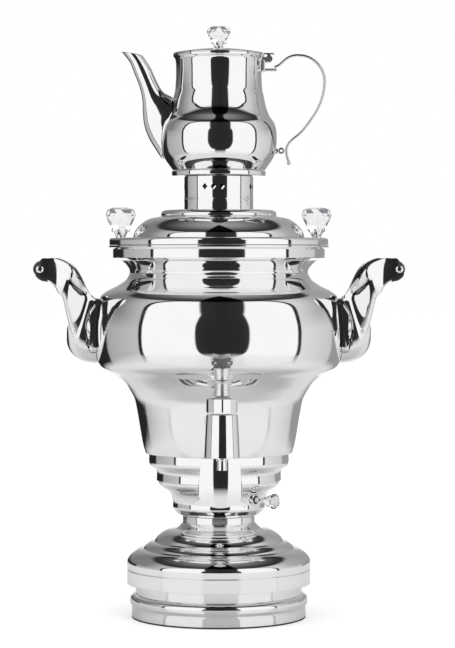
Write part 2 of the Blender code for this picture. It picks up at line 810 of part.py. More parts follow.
def vessel_path():
    """The vessel's outer side, from its mouth down to its floor's edge."""
    mouth = (MOUTH_RADIUS, VESSEL_TOP)
    neck = (NECK_RADIUS, VESSEL_TOP - THROAT_HEIGHT)
    bulge = (BULGE_RADIUS, BULGE_LEVEL)
    cone = (CONE_RADIUS, VESSEL_BOTTOM + CONE_HEIGHT)
    path = stretch(mouth, neck, THROAT_SHARES)
    path += stretch(neck, bulge, OVERBULGE_SHARES)
    path += stretch(bulge, cone, UNDERBULGE_SHARES)
    path += stretch(cone, (VESSEL_FOOT_RADIUS, VESSEL_BOTTOM), CONE_SHARES)
    return path


def bowl_path():
    """The bowl's outer side, from the collar down to the base shell."""
    shoulder = (BOWL_SHOULDER_RADIUS, BOWL_TOP - BOWL_COVE_HEIGHT)
    band = BOWL_BOTTOM + BOWL_CURVE_HEIGHT
    path = stretch((BOWL_TOP_RADIUS, BOWL_TOP), shoulder, BOWL_COVE_SHARES)
    path.append((BOWL_RADIUS, band + BOWL_BAND_HEIGHT))
    path += stretch((BOWL_RADIUS, band), (WAIST_RADIUS + BOWL_FOOT_PROUD, BOWL_BOTTOM), BOWL_CURVE_SHARES)
    return path


def pot_path():
    """The teapot's outer side, from its rim down to its foot."""
    foot = (POT_FOOT_RADIUS, POT_BOTTOM)
    belly = (POT_BELLY_RADIUS, POT_BOTTOM + POT_BELLY_HEIGHT)
    neck = (POT_NECK_RADIUS, POT_NECK_BOTTOM)
    neck_top = POT_NECK_BOTTOM + POT_NECK_HEIGHT
    rim = POT_NECK_RADIUS + POT_RIM_PROUD
    rising = stretch(foot, belly, POT_BELLY_SHARES) + stretch(belly, neck, POT_SHOULDER_SHARES)
    rising += [(POT_NECK_RADIUS, neck_top), (rim, neck_top + POT_FLARE_HEIGHT), (rim, POT_TOP)]
    return rising[::-1]


def side_name(side, positive, negative):
    return positive if side > 0 else negative


def make_foot():
    gasket_inner = FOOT_RADIUS - GASKET_WIDTH
    gasket = [
        (FOOT_RADIUS, GASKET_THICKNESS),
        (FOOT_RADIUS, 0),
        (gasket_inner, 0),
        (gasket_inner, GASKET_THICKNESS),
    ]
    turned("foot_gasket", gasket, "rubber", ROOT)
    neck = FOOT_RADIUS - FOOT_NECK_INSET
    band_top = FOOT_BOTTOM + FOOT_BAND_HEIGHT
    crest = (FOOT_RADIUS + FOOT_BEAD_PROUD, band_top + FOOT_BEAD_HEIGHT * FOOT_CREST_SHARE)
    path = [(neck - FOOT_FLANGE_WIDTH, FOOT_TOP), (neck, FOOT_TOP)]
    path += stretch((neck, band_top + FOOT_BEAD_HEIGHT), crest, FOOT_BEAD_UPPER_SHARES)
    path += stretch(crest, (FOOT_RADIUS, band_top), FOOT_BEAD_LOWER_SHARES)
    path.append((FOOT_RADIUS, FOOT_BOTTOM))
    turned("foot_ring", sheet_outline(path, FOOT_WALL), "polished steel", ROOT)


def make_base_shell():
    tiers = (
        (SKIRT_RADIUS, MIDDLE_TIER_RADIUS, LOWER_TIER_HEIGHT),
        (MIDDLE_TIER_RADIUS, UPPER_TIER_RADIUS, MIDDLE_TIER_HEIGHT),
        (UPPER_TIER_RADIUS, FLARE_RADIUS, UPPER_TIER_HEIGHT),
    )
    rising = [(SKIRT_RADIUS - HEM_WIDTH, SHELL_BOTTOM), (SKIRT_RADIUS, SHELL_BOTTOM)]
    level = SKIRT_TOP
    for outer, inner, height in tiers:
        rising += stretch((outer, level), (inner, level + height), TIER_SHARES)
        level += height
    rising += stretch((FLARE_RADIUS, level), (WAIST_RADIUS, level + FLARE_HEIGHT), FLARE_SHARES)
    rising += [(WAIST_RADIUS, SHELL_TOP), (WAIST_RADIUS - WAIST_FLANGE_WIDTH, SHELL_TOP)]
    turned("base_shell", sheet_outline(rising[::-1], SHELL_WALL), "polished steel", ROOT)


def make_base_plate():
    """The plate inside the hem, with the rod and nut that tie it to the vessel."""
    rim = SKIRT_RADIUS - HEM_WIDTH - GAP
    hole = TIE_ROD_RADIUS + GAP
    plate_top = SHELL_BOTTOM + BASE_PLATE_THICKNESS
    nut_top = SHELL_BOTTOM - GAP
    nut_bottom = nut_top - TIE_NUT_HEIGHT
    plate = [(rim, plate_top), (rim, SHELL_BOTTOM), (hole, SHELL_BOTTOM), (hole, plate_top)]
    nut = [(TIE_NUT_RADIUS, nut_top), (TIE_NUT_RADIUS, nut_bottom), (hole, nut_bottom), (hole, nut_top)]
    turned("base_plate", plate, "dull steel", ROOT)
    turned("tie_nut", nut, "dull steel", ROOT, BONNET_FACETS)
    start = (0, 0, nut_bottom - TIE_ROD_TAIL)
    end = (0, 0, VESSEL_BOTTOM - GAP)
    part("tie_rod", rod_mesh("tie_rod", start, end, TIE_ROD_RADIUS), "dull steel", ROOT)


def make_bowl():
    path = bowl_path()
    path.append((path[-1][0] - BOWL_FLANGE_WIDTH, BOWL_BOTTOM))
    bowl = turned("control_bowl", sheet_outline(path, BOWL_WALL), "polished steel", ROOT)
    wall = radius_at(bowl_path(), CONTROL_LEVEL)
    start = control_place(wall / 2)
    end = control_place(wall + OVERRUN)
    cut(bowl, rod_cutter("control_hole", start, end, BUSHING_RADIUS + GAP))
    half_width = INLET_HALF_WIDTH + GAP
    half_height = INLET_HALF_HEIGHT + GAP
    low = (-half_width, BOWL_RADIUS / 2, INLET_LEVEL - half_height)
    high = (half_width, BOWL_RADIUS + INLET_PROUD, INLET_LEVEL + half_height)
    cut(bowl, box_cutter("inlet_window", low, high))


def make_collar():
    lower_top = COLLAR_BOTTOM + COLLAR_LOWER_HEIGHT
    step = ((COLLAR_LOWER_RADIUS, lower_top), (COLLAR_UPPER_RADIUS, lower_top + COLLAR_STEP_HEIGHT))
    rising = [
        (COLLAR_LOWER_RADIUS - COLLAR_FLANGE_WIDTH, COLLAR_BOTTOM),
        (COLLAR_LOWER_RADIUS, COLLAR_BOTTOM),
        *stretch(*step, COLLAR_STEP_SHARES),
        (COLLAR_UPPER_RADIUS, COLLAR_TOP),
    ]
    turned("vessel_collar", sheet_outline(rising[::-1], COLLAR_WALL), "polished steel", ROOT)


def guard_sag(half_width):
    """How far back the guard's bend puts a point this far from its middle."""
    return GUARD_BEND_RADIUS - math.sqrt(GUARD_BEND_RADIUS**2 - half_width**2)


def guard_back():
    """How far forward the guard's back stands at its middle, with its edges against the collar's upper band."""
    share = COLLAR_UPPER_HEIGHT / (GUARD_HEIGHT - GUARD_ROUND_HEIGHT)
    half_width = GUARD_TOP_HALF_WIDTH + (GUARD_HALF_WIDTH - GUARD_TOP_HALF_WIDTH) * share
    return math.sqrt((COLLAR_UPPER_RADIUS + GAP) ** 2 - half_width**2) + guard_sag(half_width)


def guard_rings(columns):
    """The guard's upright strips from its left edge to its right."""
    rings = []
    for i in range(-columns, columns + 1):
        turn = math.pi / 2 * i / columns
        top = GUARD_TOP_HALF_WIDTH * math.sin(turn)
        low = GUARD_HALF_WIDTH * math.sin(turn)
        level = COLLAR_TOP - GUARD_HEIGHT + GUARD_ROUND_HEIGHT * (1 - math.cos(turn))
        top_back = guard_sag(top) - guard_back()
        low_back = guard_sag(low) - guard_back()
        rings.append(
            [
                (top, top_back, COLLAR_TOP),
                (low, low_back, level),
                (low, low_back - GUARD_WALL, level),
                (top, top_back - GUARD_WALL, COLLAR_TOP),
            ]
        )
    return rings


def make_drip_guard():
    part("drip_guard", loft_mesh("drip_guard", guard_rings(GUARD_COLUMNS)), "polished steel", ROOT)


def make_heating_element():
    """A ring of tube against the vessel's floor, its two ends turned down as legs."""
    level = VESSEL_BOTTOM - GAP - ELEMENT_TUBE_RADIUS
    first = math.radians(90 - ELEMENT_SWEEP_DEGREES / 2)
    step = math.radians(ELEMENT_SWEEP_DEGREES) / (ELEMENT_POINTS - 1)
    ring = []
    for i in range(ELEMENT_POINTS):
        angle = first + i * step
        ring.append((ELEMENT_RING_RADIUS * math.cos(angle), ELEMENT_RING_RADIUS * math.sin(angle), level))
    start, end = [(x, y, level - ELEMENT_LEG_LENGTH) for x, y, _ in (ring[0], ring[-1])]
    mesh = tube_mesh("heating_element", [start, *ring, end], ELEMENT_TUBE_RADIUS)
    part("heating_element", mesh, "element sheath", ROOT)


def make_vessel():
    path = vessel_path()
    path.append((0, VESSEL_BOTTOM))
    vessel = turned("vessel", sheet_outline(path, VESSEL_WALL), "polished steel", ROOT)
    wall = radius_at(vessel_path(), TAP_LEVEL)
    start = (0, -wall / 2, TAP_LEVEL)
    end = (0, -wall - ROSETTE_PROUD, TAP_LEVEL)
    cut(vessel, rod_cutter("shank_hole", start, end, SHANK_RADIUS + GAP))


def make_rim_band():
    chamfer_top = BAND_BOTTOM + BAND_CHAMFER_HEIGHT
    step_bottom = chamfer_top + BAND_HEIGHT
    outline = [
        (RIM_RADIUS, BAND_TOP),
        (RIM_RADIUS, step_bottom + BAND_STEP_HEIGHT),
        (BAND_RADIUS, step_bottom),
        (BAND_RADIUS, chamfer_top),
        (MOUTH_RADIUS, BAND_BOTTOM),
        (MOUTH_RADIUS - VESSEL_WALL, BAND_BOTTOM),
        (BAND_BORE_RADIUS, chamfer_top + BAND_CHAMFER_HEIGHT),
        (BAND_BORE_RADIUS, BAND_TOP),
    ]
    turned("rim_band", outline, "polished steel", ROOT)


def make_lid(lift):
    skirt = BAND_BORE_RADIUS - LID_SKIRT_PLAY
    dome_top = BRIM_TOP + LID_DOME_HEIGHT
    path = [
        (LID_HOLE_RADIUS, LID_TOP),
        (LID_CROWN_RADIUS - LID_CROWN_ROUND, LID_TOP),
        (LID_CROWN_RADIUS, LID_TOP - LID_CROWN_ROUND),
        *stretch((LID_CROWN_RADIUS, dome_top), (LID_DOME_RADIUS, BRIM_TOP), LID_DOME_SHARES),
        (LID_RADIUS - LID_BRIM_ROUND, BRIM_TOP),
        (LID_RADIUS, BRIM_TOP - LID_BRIM_ROUND),
        (LID_RADIUS, LID_BOTTOM),
        (skirt, LID_BOTTOM),
        (skirt, LID_BOTTOM - LID_SKIRT_DEPTH),
    ]
    lid = turned("lid", sheet_outline(path, LID_WALL), "polished steel", lift)
    for side in (-1, 1):
        place = (side * LID_KNOB_REACH, 0, BRIM_TOP)
        name = side_name(side, "lid_knob_right", "lid_knob_left")
        cut(lid, make_knob(name, lift, place, LID_KNOB, LID_WALL))


def make_knob(name, empty, place, knob, sheet):
    """A crystal in its riveted ferrule, on a sheet whose top is the place. Returns the rivet's cutter."""
    foot, ferrule, ferrule_height, crystal, crystal_height, rivet, head, head_height = knob
    seat = GAP + ferrule_height
    head_top = -sheet - GAP
    outline = [
        (0, seat),
        *stretch((foot, GAP), (ferrule, seat), FERRULE_SHARES),
        (rivet, GAP),
        (rivet, head_top),
        (head, head_top),
        (head, head_top - head_height),
        (0, head_top - head_height),
    ]
    turned(f"{name}_ferrule", outline, "polished steel", empty, SMALL_STEPS, place)
    stone = crystal_outline(ferrule, crystal, crystal_height, seat + GAP)
    turned(f"{name}_crystal", stone, "crystal", empty, CRYSTAL_FACETS, place)
    hole = rod_mesh(f"{name}_hole", (0, 0, head_top - head_height), (0, 0, seat), rivet + GAP)
    return cutter(f"{name}_hole", hole, place)


def crystal_outline(foot, radius, height, bottom):
    """A cut crystal: a table, a sloping crown and a long taper down to its foot."""
    side = [(radius * across, bottom + height * up) for across, up in CRYSTAL_SHARES]
    return solid_outline([*side, (foot, bottom)])


def diamond_cutter():
    """Four-sided prisms through the chimney's wall, in groups round it."""
    bm = bmesh.new()
    upright = Matrix.Rotation(math.pi / 2, 4, "X")
    level = CHIMNEY_TOP - DIAMOND_DROP
    for group in range(DIAMOND_GROUPS):
        for number in range(DIAMONDS_IN_GROUP):
            turn = DIAMOND_TURN_DEGREES + group * 360 / DIAMOND_GROUPS
            turn += (number - (DIAMONDS_IN_GROUP - 1) / 2) * DIAMOND_STEP_DEGREES
            prism = bmesh.ops.create_cone(
                bm,
                cap_ends=True,
                segments=DIAMOND_SIDES,
                radius1=1 / 2,
                radius2=1 / 2,
                depth=1,
                matrix=upright,
            )["verts"]
            size = (DIAMOND_WIDTH, CHIMNEY_WALL + OVERRUN, DIAMOND_HEIGHT)
            bmesh.ops.scale(bm, vec=size, verts=prism)
            bmesh.ops.translate(bm, vec=(0, CHIMNEY_WALL / 2 - CHIMNEY_RADIUS, level), verts=prism)
            about = Matrix.Rotation(math.radians(turn), 3, "Z")
            bmesh.ops.rotate(bm, cent=(0, 0, 0), matrix=about, verts=prism)
    return cutter("diamonds", mesh_from("diamonds", bm))


def make_chimney(lift):
    inner = CHIMNEY_RADIUS - CHIMNEY_WALL
    tube = [
        (CHIMNEY_RADIUS, CHIMNEY_TOP),
        (CHIMNEY_RADIUS, CHIMNEY_BOTTOM),
        (inner, CHIMNEY_BOTTOM),
        (inner, CHIMNEY_TOP),
    ]
    cut(turned("chimney", tube, "polished steel", lift, POT_STEPS), diamond_cutter())
    spigot = inner - GAP
    spigot_bottom = STAND_BOTTOM - STAND_SPIGOT_DEPTH
    ring = [
        (STAND_RADIUS - STAND_ROUND, STAND_TOP),
        (STAND_RADIUS, STAND_TOP - STAND_ROUND),
        (STAND_RADIUS, STAND_BOTTOM + STAND_ROUND),
        (STAND_RADIUS - STAND_ROUND, STAND_BOTTOM),
        (spigot, STAND_BOTTOM),
        (spigot, spigot_bottom),
        (spigot - STAND_SPIGOT_WALL, spigot_bottom),
        (spigot - STAND_SPIGOT_WALL, STAND_TOP),
    ]
    turned("stand_ring", ring, "polished steel", lift, POT_STEPS)


def make_pot_body(lift):
    path = pot_path()
    path.append((0, POT_BOTTOM))
    body = turned("teapot_body", sheet_outline(path, POT_WALL), "polished steel", lift, POT_STEPS)
    level = POT_BOTTOM + SPOUT_PORT_LEVEL
    wall = radius_at(pot_path(), level)
    start = (-wall - OVERRUN, 0, level)
    cut(body, rod_cutter("spout_port", start, (-wall / 2, 0, level), SPOUT_PORT_RADIUS))


def spout_rings(inset, overrun):
    """Rings of points along the spout, each an oval between its two edges. An inset narrows them."""
    rings = []
    centres = []
    for low_out, low_up, high_out, high_up, wide in SPOUT_SHARES:
        low = Vector((-SPOUT_REACH * low_out, 0, POT_BOTTOM + SPOUT_HEIGHT * low_up))
        high = Vector((-SPOUT_REACH * high_out, 0, POT_BOTTOM + SPOUT_HEIGHT * high_up))
        centre = (low + high) / 2
        half_tall = (high - low) / 2
        half_tall -= half_tall.normalized() * inset
        half_wide = Vector((0, SPOUT_HALF_WIDTH * wide - inset, 0))
        turns = [math.tau * i / SPOUT_SIDES for i in range(SPOUT_SIDES)]
        rings.append([centre + half_tall * math.cos(turn) + half_wide * math.sin(turn) for turn in turns])
        centres.append(centre)
    if overrun:
        inward = (centres[0] - centres[1]).normalized() * overrun
        outward = (centres[-1] - centres[-2]).normalized() * overrun
        rings.insert(0, [point + inward for point in rings[0]])
        rings.append([point + outward for point in rings[-1]])
    return rings


def make_spout(lift, envelope):
    spout = part("teapot_spout", loft_mesh("teapot_spout", spout_rings(0, 0)), "polished steel", lift)
    bore = cutter("spout_bore", loft_mesh("spout_bore", spout_rings(SPOUT_WALL, OVERRUN)))
    cut(spout, bore, envelope)


def make_pot_strap(lift):
    """A bent strap: its edge seen from the side, given its width along Y."""
    eye = EYE_REACH + EYE_RADIUS + GAP + STRAP_THICKNESS / 2
    level = POT_BOTTOM + EYE_HEIGHT
    lap_level = POT_TOP - ARM_DROP + GAP + STRAP_THICKNESS / 2
    middle = [(eye + STRAP_REACH * out, level + STRAP_HEIGHT * up) for out, up in STRAP_SHARES]
    middle += [(ARM_REACH, lap_level), (ARM_REACH - STRAP_LAP, lap_level)]
    inner = moved_path(middle, STRAP_THICKNESS / 2)
    outer = moved_path(middle, -STRAP_THICKNESS / 2)
    mesh = outline_mesh("teapot_handle", inner + outer[::-1], STRAP_WIDTH / 2)
    part("teapot_handle", mesh, "polished steel", lift)


def make_pot_socket(lift, envelope):
    """The plate on the neck, its arm and the two outer knuckles of the lid's hinge."""
    root = POT_NECK_RADIUS / 2
    top = POT_TOP - SOCKET_DROP
    arm_top = POT_TOP - ARM_DROP
    low = (root, -SOCKET_HALF_WIDTH, top - SOCKET_HEIGHT)
    high = (SOCKET_FACE, SOCKET_HALF_WIDTH, top)
    socket = part("handle_socket", box_mesh("handle_socket", low, high), "polished steel", lift)
    arm_low = (POT_NECK_RADIUS, -ARM_HALF_WIDTH, arm_top - ARM_HEIGHT)
    join(socket, box_cutter("arm", arm_low, (ARM_REACH, ARM_HALF_WIDTH, arm_top)))
    near = HINGE_LEAF_HALF_WIDTH + HINGE_SIDE_PLAY
    for side in (-1, 1):
        start = (HINGE_REACH, side * near, HINGE_LEVEL)
        end = (HINGE_REACH, side * HINGE_HALF_WIDTH, HINGE_LEVEL)
        knuckle = rod_cutter("knuckle", start, end, HINGE_RADIUS)
        sides = sorted((side * (near + GAP), side * (SOCKET_HALF_WIDTH - GAP)))
        web_low = (root, sides[0], HINGE_LEVEL - HINGE_RADIUS + GAP)
        web_high = (HINGE_REACH, sides[1], HINGE_LEVEL + HINGE_WEB_INSET)
        join(socket, knuckle, box_cutter("knuckle_web", web_low, web_high))
    cut(socket, envelope, hinge_bore("socket_bore"))


def hinge_bore(name):
    reach = HINGE_HALF_WIDTH + OVERRUN
    start = (HINGE_REACH, -reach, HINGE_LEVEL)
    return rod_cutter(name, start, (HINGE_REACH, reach, HINGE_LEVEL), HINGE_PIN_RADIUS + GAP)


def make_hinge_pin(lift):
    reach = HINGE_HALF_WIDTH + HINGE_PIN_OVERHANG
    start = (HINGE_REACH, -reach, HINGE_LEVEL)
    end = (HINGE_REACH, reach, HINGE_LEVEL)
    part("hinge_pin", rod_mesh("hinge_pin", start, end, HINGE_PIN_RADIUS), "dull steel", lift)


def make_pot_eye(lift, envelope):
    """The eye that the strap rests against, on its stem and pad."""
    level = POT_BOTTOM + EYE_HEIGHT
    wall = radius_at(pot_path(), level)
    start = (EYE_REACH, -EYE_HALF_WIDTH, level)
    end = (EYE_REACH, EYE_HALF_WIDTH, level)
    eye = part("handle_eye", rod_mesh("handle_eye", start, end, EYE_RADIUS), "polished steel", lift)
    root = (wall / 2, 0, level)
    stem = rod_cutter("eye_stem", root, (EYE_REACH, 0, level), EYE_STEM_RADIUS)
    pad = rod_cutter("eye_pad", root, (wall + EYE_PAD_PROUD, 0, level), EYE_PAD_RADIUS)
    cut(join(eye, stem, pad), envelope)


def make_pot_lid(lid_hinge):
    """The teapot's lid: a shallow cone with a short skirt, and the leaf and knuckle of its hinge."""
    edge = POT_NECK_RADIUS + POT_RIM_PROUD
    skirt = POT_NECK_RADIUS - POT_WALL - POT_LID_SKIRT_PLAY
    inner = skirt - POT_LID_WALL
    rise = POT_LID_RISE * (edge - inner) / (edge - POT_LID_FLAT_RADIUS)
    skirt_bottom = POT_LID_BOTTOM - POT_LID_SKIRT_DEPTH
    outline = [
        (0, POT_LID_TOP),
        (POT_LID_FLAT_RADIUS, POT_LID_TOP),
        (edge, POT_LID_EDGE),
        (edge, POT_LID_BOTTOM),
        (skirt, POT_LID_BOTTOM),
        (skirt, skirt_bottom),
        (inner, skirt_bottom),
        (inner, POT_LID_EDGE + rise - POT_LID_WALL),
        (POT_LID_FLAT_RADIUS, POT_LID_TOP - POT_LID_WALL),
        (0, POT_LID_TOP - POT_LID_WALL),
    ]
    lid = turned("teapot_lid", outline, "polished steel", lid_hinge, POT_STEPS)
    half = HINGE_LEAF_HALF_WIDTH
    leaf_bottom = POT_LID_BOTTOM + GAP
    leaf_top = leaf_bottom + HINGE_LEAF_THICKNESS
    leaf = box_cutter("leaf", (HINGE_LEAF_ROOT, -half, leaf_bottom), (HINGE_LEAF_REACH, half, leaf_top))
    start = (HINGE_REACH, -half, HINGE_LEVEL)
    knuckle = rod_cutter("leaf_knuckle", start, (HINGE_REACH, half, HINGE_LEVEL), HINGE_RADIUS)
    web_low = (HINGE_REACH - HINGE_WEB_INSET, GAP - half, HINGE_LEVEL)
    web_high = (HINGE_REACH + HINGE_WEB_INSET, half - GAP, leaf_top - GAP)
    join(lid, leaf, box_cutter("leaf_web", web_low, web_high), knuckle)
    rivet_hole = make_knob("teapot_knob", lid_hinge, (0, 0, POT_LID_TOP), POT_KNOB, POT_LID_WALL)
    cut(lid, hinge_bore("leaf_bore"), rivet_hole)


def tap_reach():
    """How far the tap's upright axis stands out, so that its key clears the bulge."""
    return BULGE_RADIUS + TAP_STANDOFF


def make_tap_body():
    place = (0, -tap_reach(), 0)
    bottom = TAP_LEVEL - TAP_BODY_DROP
    top = TAP_LEVEL + TAP_BODY_RISE
    plug_floor = TAP_LEVEL - PLUG_DROP - GAP
    spigot_top = bottom + SPIGOT_DEPTH + GAP
    outline = [
        (TAP_TOP_RADIUS, top),
        (TAP_BOTTOM_RADIUS, bottom),
        (SPIGOT_RADIUS + GAP, bottom),
        (SPIGOT_RADIUS + GAP, spigot_top),
        (FLOW_RADIUS, spigot_top),
        (FLOW_RADIUS, plug_floor),
        (PLUG_RADIUS + GAP, plug_floor),
        (PLUG_RADIUS + GAP, top),
    ]
    body = turned("tap_body", outline, "polished steel", ROOT, POT_STEPS, place)
    tail = tap_nut_plane() + TAP_NUT_THICKNESS + SHANK_TAIL
    start = (0, SHANK_ROOT - tap_reach(), TAP_LEVEL)
    join(body, rod_cutter("tap_shank", start, (0, tail, TAP_LEVEL), SHANK_RADIUS))
    middle = (0, -tap_reach(), TAP_LEVEL)
    cut(body, rod_cutter("tap_flow", middle, (0, tail + OVERRUN, TAP_LEVEL), FLOW_RADIUS))


def washer_plane():
    """Where the washer inside the vessel is flat, along Y."""
    return VESSEL_WALL + WASHER_THICKNESS - radius_at(vessel_path(), TAP_LEVEL)


def tap_nut_plane():
    return washer_plane() + GAP


def make_tap_mount(envelope):
    """The rosette outside the vessel's wall, and the washer and nut inside it."""
    wall = radius_at(vessel_path(), TAP_LEVEL)
    place = (0, 0, TAP_LEVEL)
    forward = (math.pi / 2, 0, 0)
    hole = SHANK_RADIUS + GAP
    face = wall + ROSETTE_PROUD
    back = wall / 2
    rosette = [
        (ROSETTE_FACE_RADIUS, face),
        (ROSETTE_RADIUS, face - ROSETTE_EDGE),
        (ROSETTE_RADIUS, back),
        (hole, back),
        (hole, face),
    ]
    cut(turned("tap_rosette", rosette, "polished steel", ROOT, POT_STEPS, place, forward), envelope)
    plane = -washer_plane()
    washer = [(WASHER_RADIUS, face), (WASHER_RADIUS, plane), (hole, plane), (hole, face)]
    piece = turned("tap_washer", washer, "rubber", ROOT, SMALL_STEPS, place, forward)
    inside = solid_outline(moved_path(vessel_path(), VESSEL_WALL + GAP))
    combine(piece, turned_cutter("vessel_inside", inside), "INTERSECT")
    near = -tap_nut_plane()
    far = near - TAP_NUT_THICKNESS
    nut = [(TAP_NUT_RADIUS, near), (TAP_NUT_RADIUS, far), (hole, far), (hole, near)]
    turned("tap_nut", nut, "brass", ROOT, BONNET_FACETS, place, forward)


def make_tap_nozzle():
    bottom = TAP_LEVEL - TAP_BODY_DROP - GAP
    outline = [
        (SPIGOT_RADIUS, bottom + SPIGOT_DEPTH),
        (SPIGOT_RADIUS, bottom),
        (NOZZLE_COLLAR_RADIUS, bottom),
        (NOZZLE_COLLAR_RADIUS, bottom - NOZZLE_COLLAR_HEIGHT),
        (NOZZLE_RADIUS, bottom - NOZZLE_COLLAR_HEIGHT),
        (NOZZLE_RADIUS, bottom - NOZZLE_LENGTH),
        (FLOW_RADIUS, bottom - NOZZLE_LENGTH),
        (FLOW_RADIUS, bottom + SPIGOT_DEPTH),
    ]
    turned("tap_nozzle", outline, "polished steel", ROOT, SMALL_STEPS, (0, -tap_reach(), 0))


def make_tap_bonnet():
    bottom = TAP_LEVEL + TAP_BODY_RISE + GAP
    top = bottom + BONNET_HEIGHT
    bore = STEM_RADIUS + GAP
    outline = [
        (BONNET_RADIUS - BONNET_CHAMFER, top),
        (BONNET_RADIUS, top - BONNET_CHAMFER),
        (BONNET_RADIUS, bottom),
        (bore, bottom),
        (bore, top),
    ]
    turned("tap_bonnet", outline, "polished steel", ROOT, BONNET_FACETS, (0, -tap_reach(), 0))


def make_tap_plug(turn):
    """The plug and its stem. Its side port points along +X when closed, and back when opened."""
    place = (0, -tap_reach(), 0)
    shoulder = TAP_LEVEL + TAP_BODY_RISE
    bottom = TAP_LEVEL - PLUG_DROP
    stem_top = shoulder + GAP + BONNET_HEIGHT + STEM_RISE
    outline = [
        (0, stem_top),
        (STEM_RADIUS, stem_top),
        (STEM_RADIUS, shoulder),
        (PLUG_RADIUS, shoulder),
        (PLUG_RADIUS, bottom),
        (0, bottom),
    ]
    plug = turned("tap_plug", outline, "brass", turn, SMALL_STEPS, place)
    middle = (0, -tap_reach(), TAP_LEVEL)
    side = (PLUG_RADIUS + OVERRUN, -tap_reach(), TAP_LEVEL)
    under = (0, -tap_reach(), bottom - OVERRUN)
    cut(plug, rod_cutter("plug_port", middle, side, FLOW_RADIUS, CRYSTAL_FACETS))
    cut(plug, rod_cutter("plug_drain", (0, -tap_reach(), TAP_LEVEL + GAP), under, FLOW_RADIUS))


def make_tap_key(turn):
    bottom = TAP_LEVEL + TAP_BODY_RISE + GAP + BONNET_HEIGHT + GAP
    top = bottom + SPOOL_HEIGHT
    ring = bottom + SPOOL_RING_RISE
    ring_top = ring + SPOOL_RING_HEIGHT
    bore = STEM_RADIUS + GAP
    bore_top = bottom + STEM_RISE + SPOOL_SOCKET_PLAY
    outline = [
        (0, top),
        (SPOOL_RADIUS, top),
        (SPOOL_THROAT_RADIUS, ring_top + SPOOL_RING_HEIGHT),
        (SPOOL_RING_RADIUS, ring_top),
        (SPOOL_RING_RADIUS, ring),
        (SPOOL_THROAT_RADIUS, ring - SPOOL_RING_HEIGHT),
        (SPOOL_RADIUS, bottom),
        (bore, bottom),
        (bore, bore_top),
        (0, bore_top),
    ]
    key = turned("tap_key", outline, "polished steel", turn, SMALL_STEPS, (0, -tap_reach(), 0))
    foot = top - KEY_SINK
    wing = [(KEY_HALF_WIDTH * across, foot + KEY_HEIGHT * up) for across, up in KEY_SHARES]
    mesh = outline_mesh("key_wing", wing, KEY_THICKNESS / 2)
    join(key, cutter("key_wing", mesh, (0, -tap_reach(), 0)))


def control_place(distance):
    """The point on the control's axis at a distance from the vessel's axis."""
    azimuth = math.radians(CONTROL_AZIMUTH_DEGREES)
    return (distance * math.sin(azimuth), -distance * math.cos(azimuth), CONTROL_LEVEL)


def make_control(turn, envelope):
    """Bushing, spindle and crystal, turned about the control's axis, and the thermostat behind them."""
    place = (0, 0, CONTROL_LEVEL)
    outward = (math.pi / 2, 0, math.radians(CONTROL_AZIMUTH_DEGREES))
    wall = radius_at(bowl_path(), CONTROL_LEVEL)
    box_face = wall - THERMOSTAT_SETBACK
    front = wall + BUSHING_PROUD
    flange = solid_outline([(BUSHING_FLANGE_RADIUS, front), (BUSHING_FLANGE_RADIUS, wall - BUSHING_SEAT)])
    bushing = turned("control_bushing", flange, "black plastic", ROOT, SMALL_STEPS, place, outward)
    start = control_place(box_face - BUSHING_TAIL)
    cut(bushing, envelope)
    join(bushing, rod_cutter("bushing_shank", start, control_place(front - GAP), BUSHING_RADIUS))
    bore_start = control_place(box_face / 2)
    bore_end = control_place(front + OVERRUN)
    cut(bushing, rod_cutter("bushing_bore", bore_start, bore_end, SPINDLE_RADIUS + GAP))
    foot = front + SPINDLE_NECK
    seat = foot + CONTROL_FERRULE_LENGTH
    claw_foot = (CONTROL_FERRULE_FOOT_RADIUS, foot)
    claws = stretch(claw_foot, (CONTROL_FERRULE_RADIUS, seat), CONTROL_FERRULE_SHARES)
    spindle = solid_outline([*claws, (SPINDLE_RADIUS, foot), (SPINDLE_RADIUS, box_face - SPINDLE_TAIL)])
    turned("control_spindle", spindle, "polished steel", turn, SMALL_STEPS, place, outward)
    sizes = (CONTROL_FERRULE_RADIUS, CONTROL_CRYSTAL_RADIUS, CONTROL_CRYSTAL_LENGTH, seat + GAP)
    turned("control_crystal", crystal_outline(*sizes), "crystal", turn, CRYSTAL_FACETS, place, outward)
    low = (box_face - THERMOSTAT_DEPTH, -THERMOSTAT_HALF_WIDTH, CONTROL_LEVEL - THERMOSTAT_HALF_HEIGHT)
    high = (box_face, THERMOSTAT_HALF_WIDTH, CONTROL_LEVEL + THERMOSTAT_HALF_HEIGHT)
    mesh = box_mesh("thermostat", low, high, math.radians(CONTROL_AZIMUTH_DEGREES - 90))
    thermostat = part("thermostat", mesh, "black plastic", ROOT)
    start = control_place(box_face - THERMOSTAT_BORE_DEPTH)
    cut(thermostat, rod_cutter("thermostat_bore", start, control_place(wall), BUSHING_RADIUS + GAP))


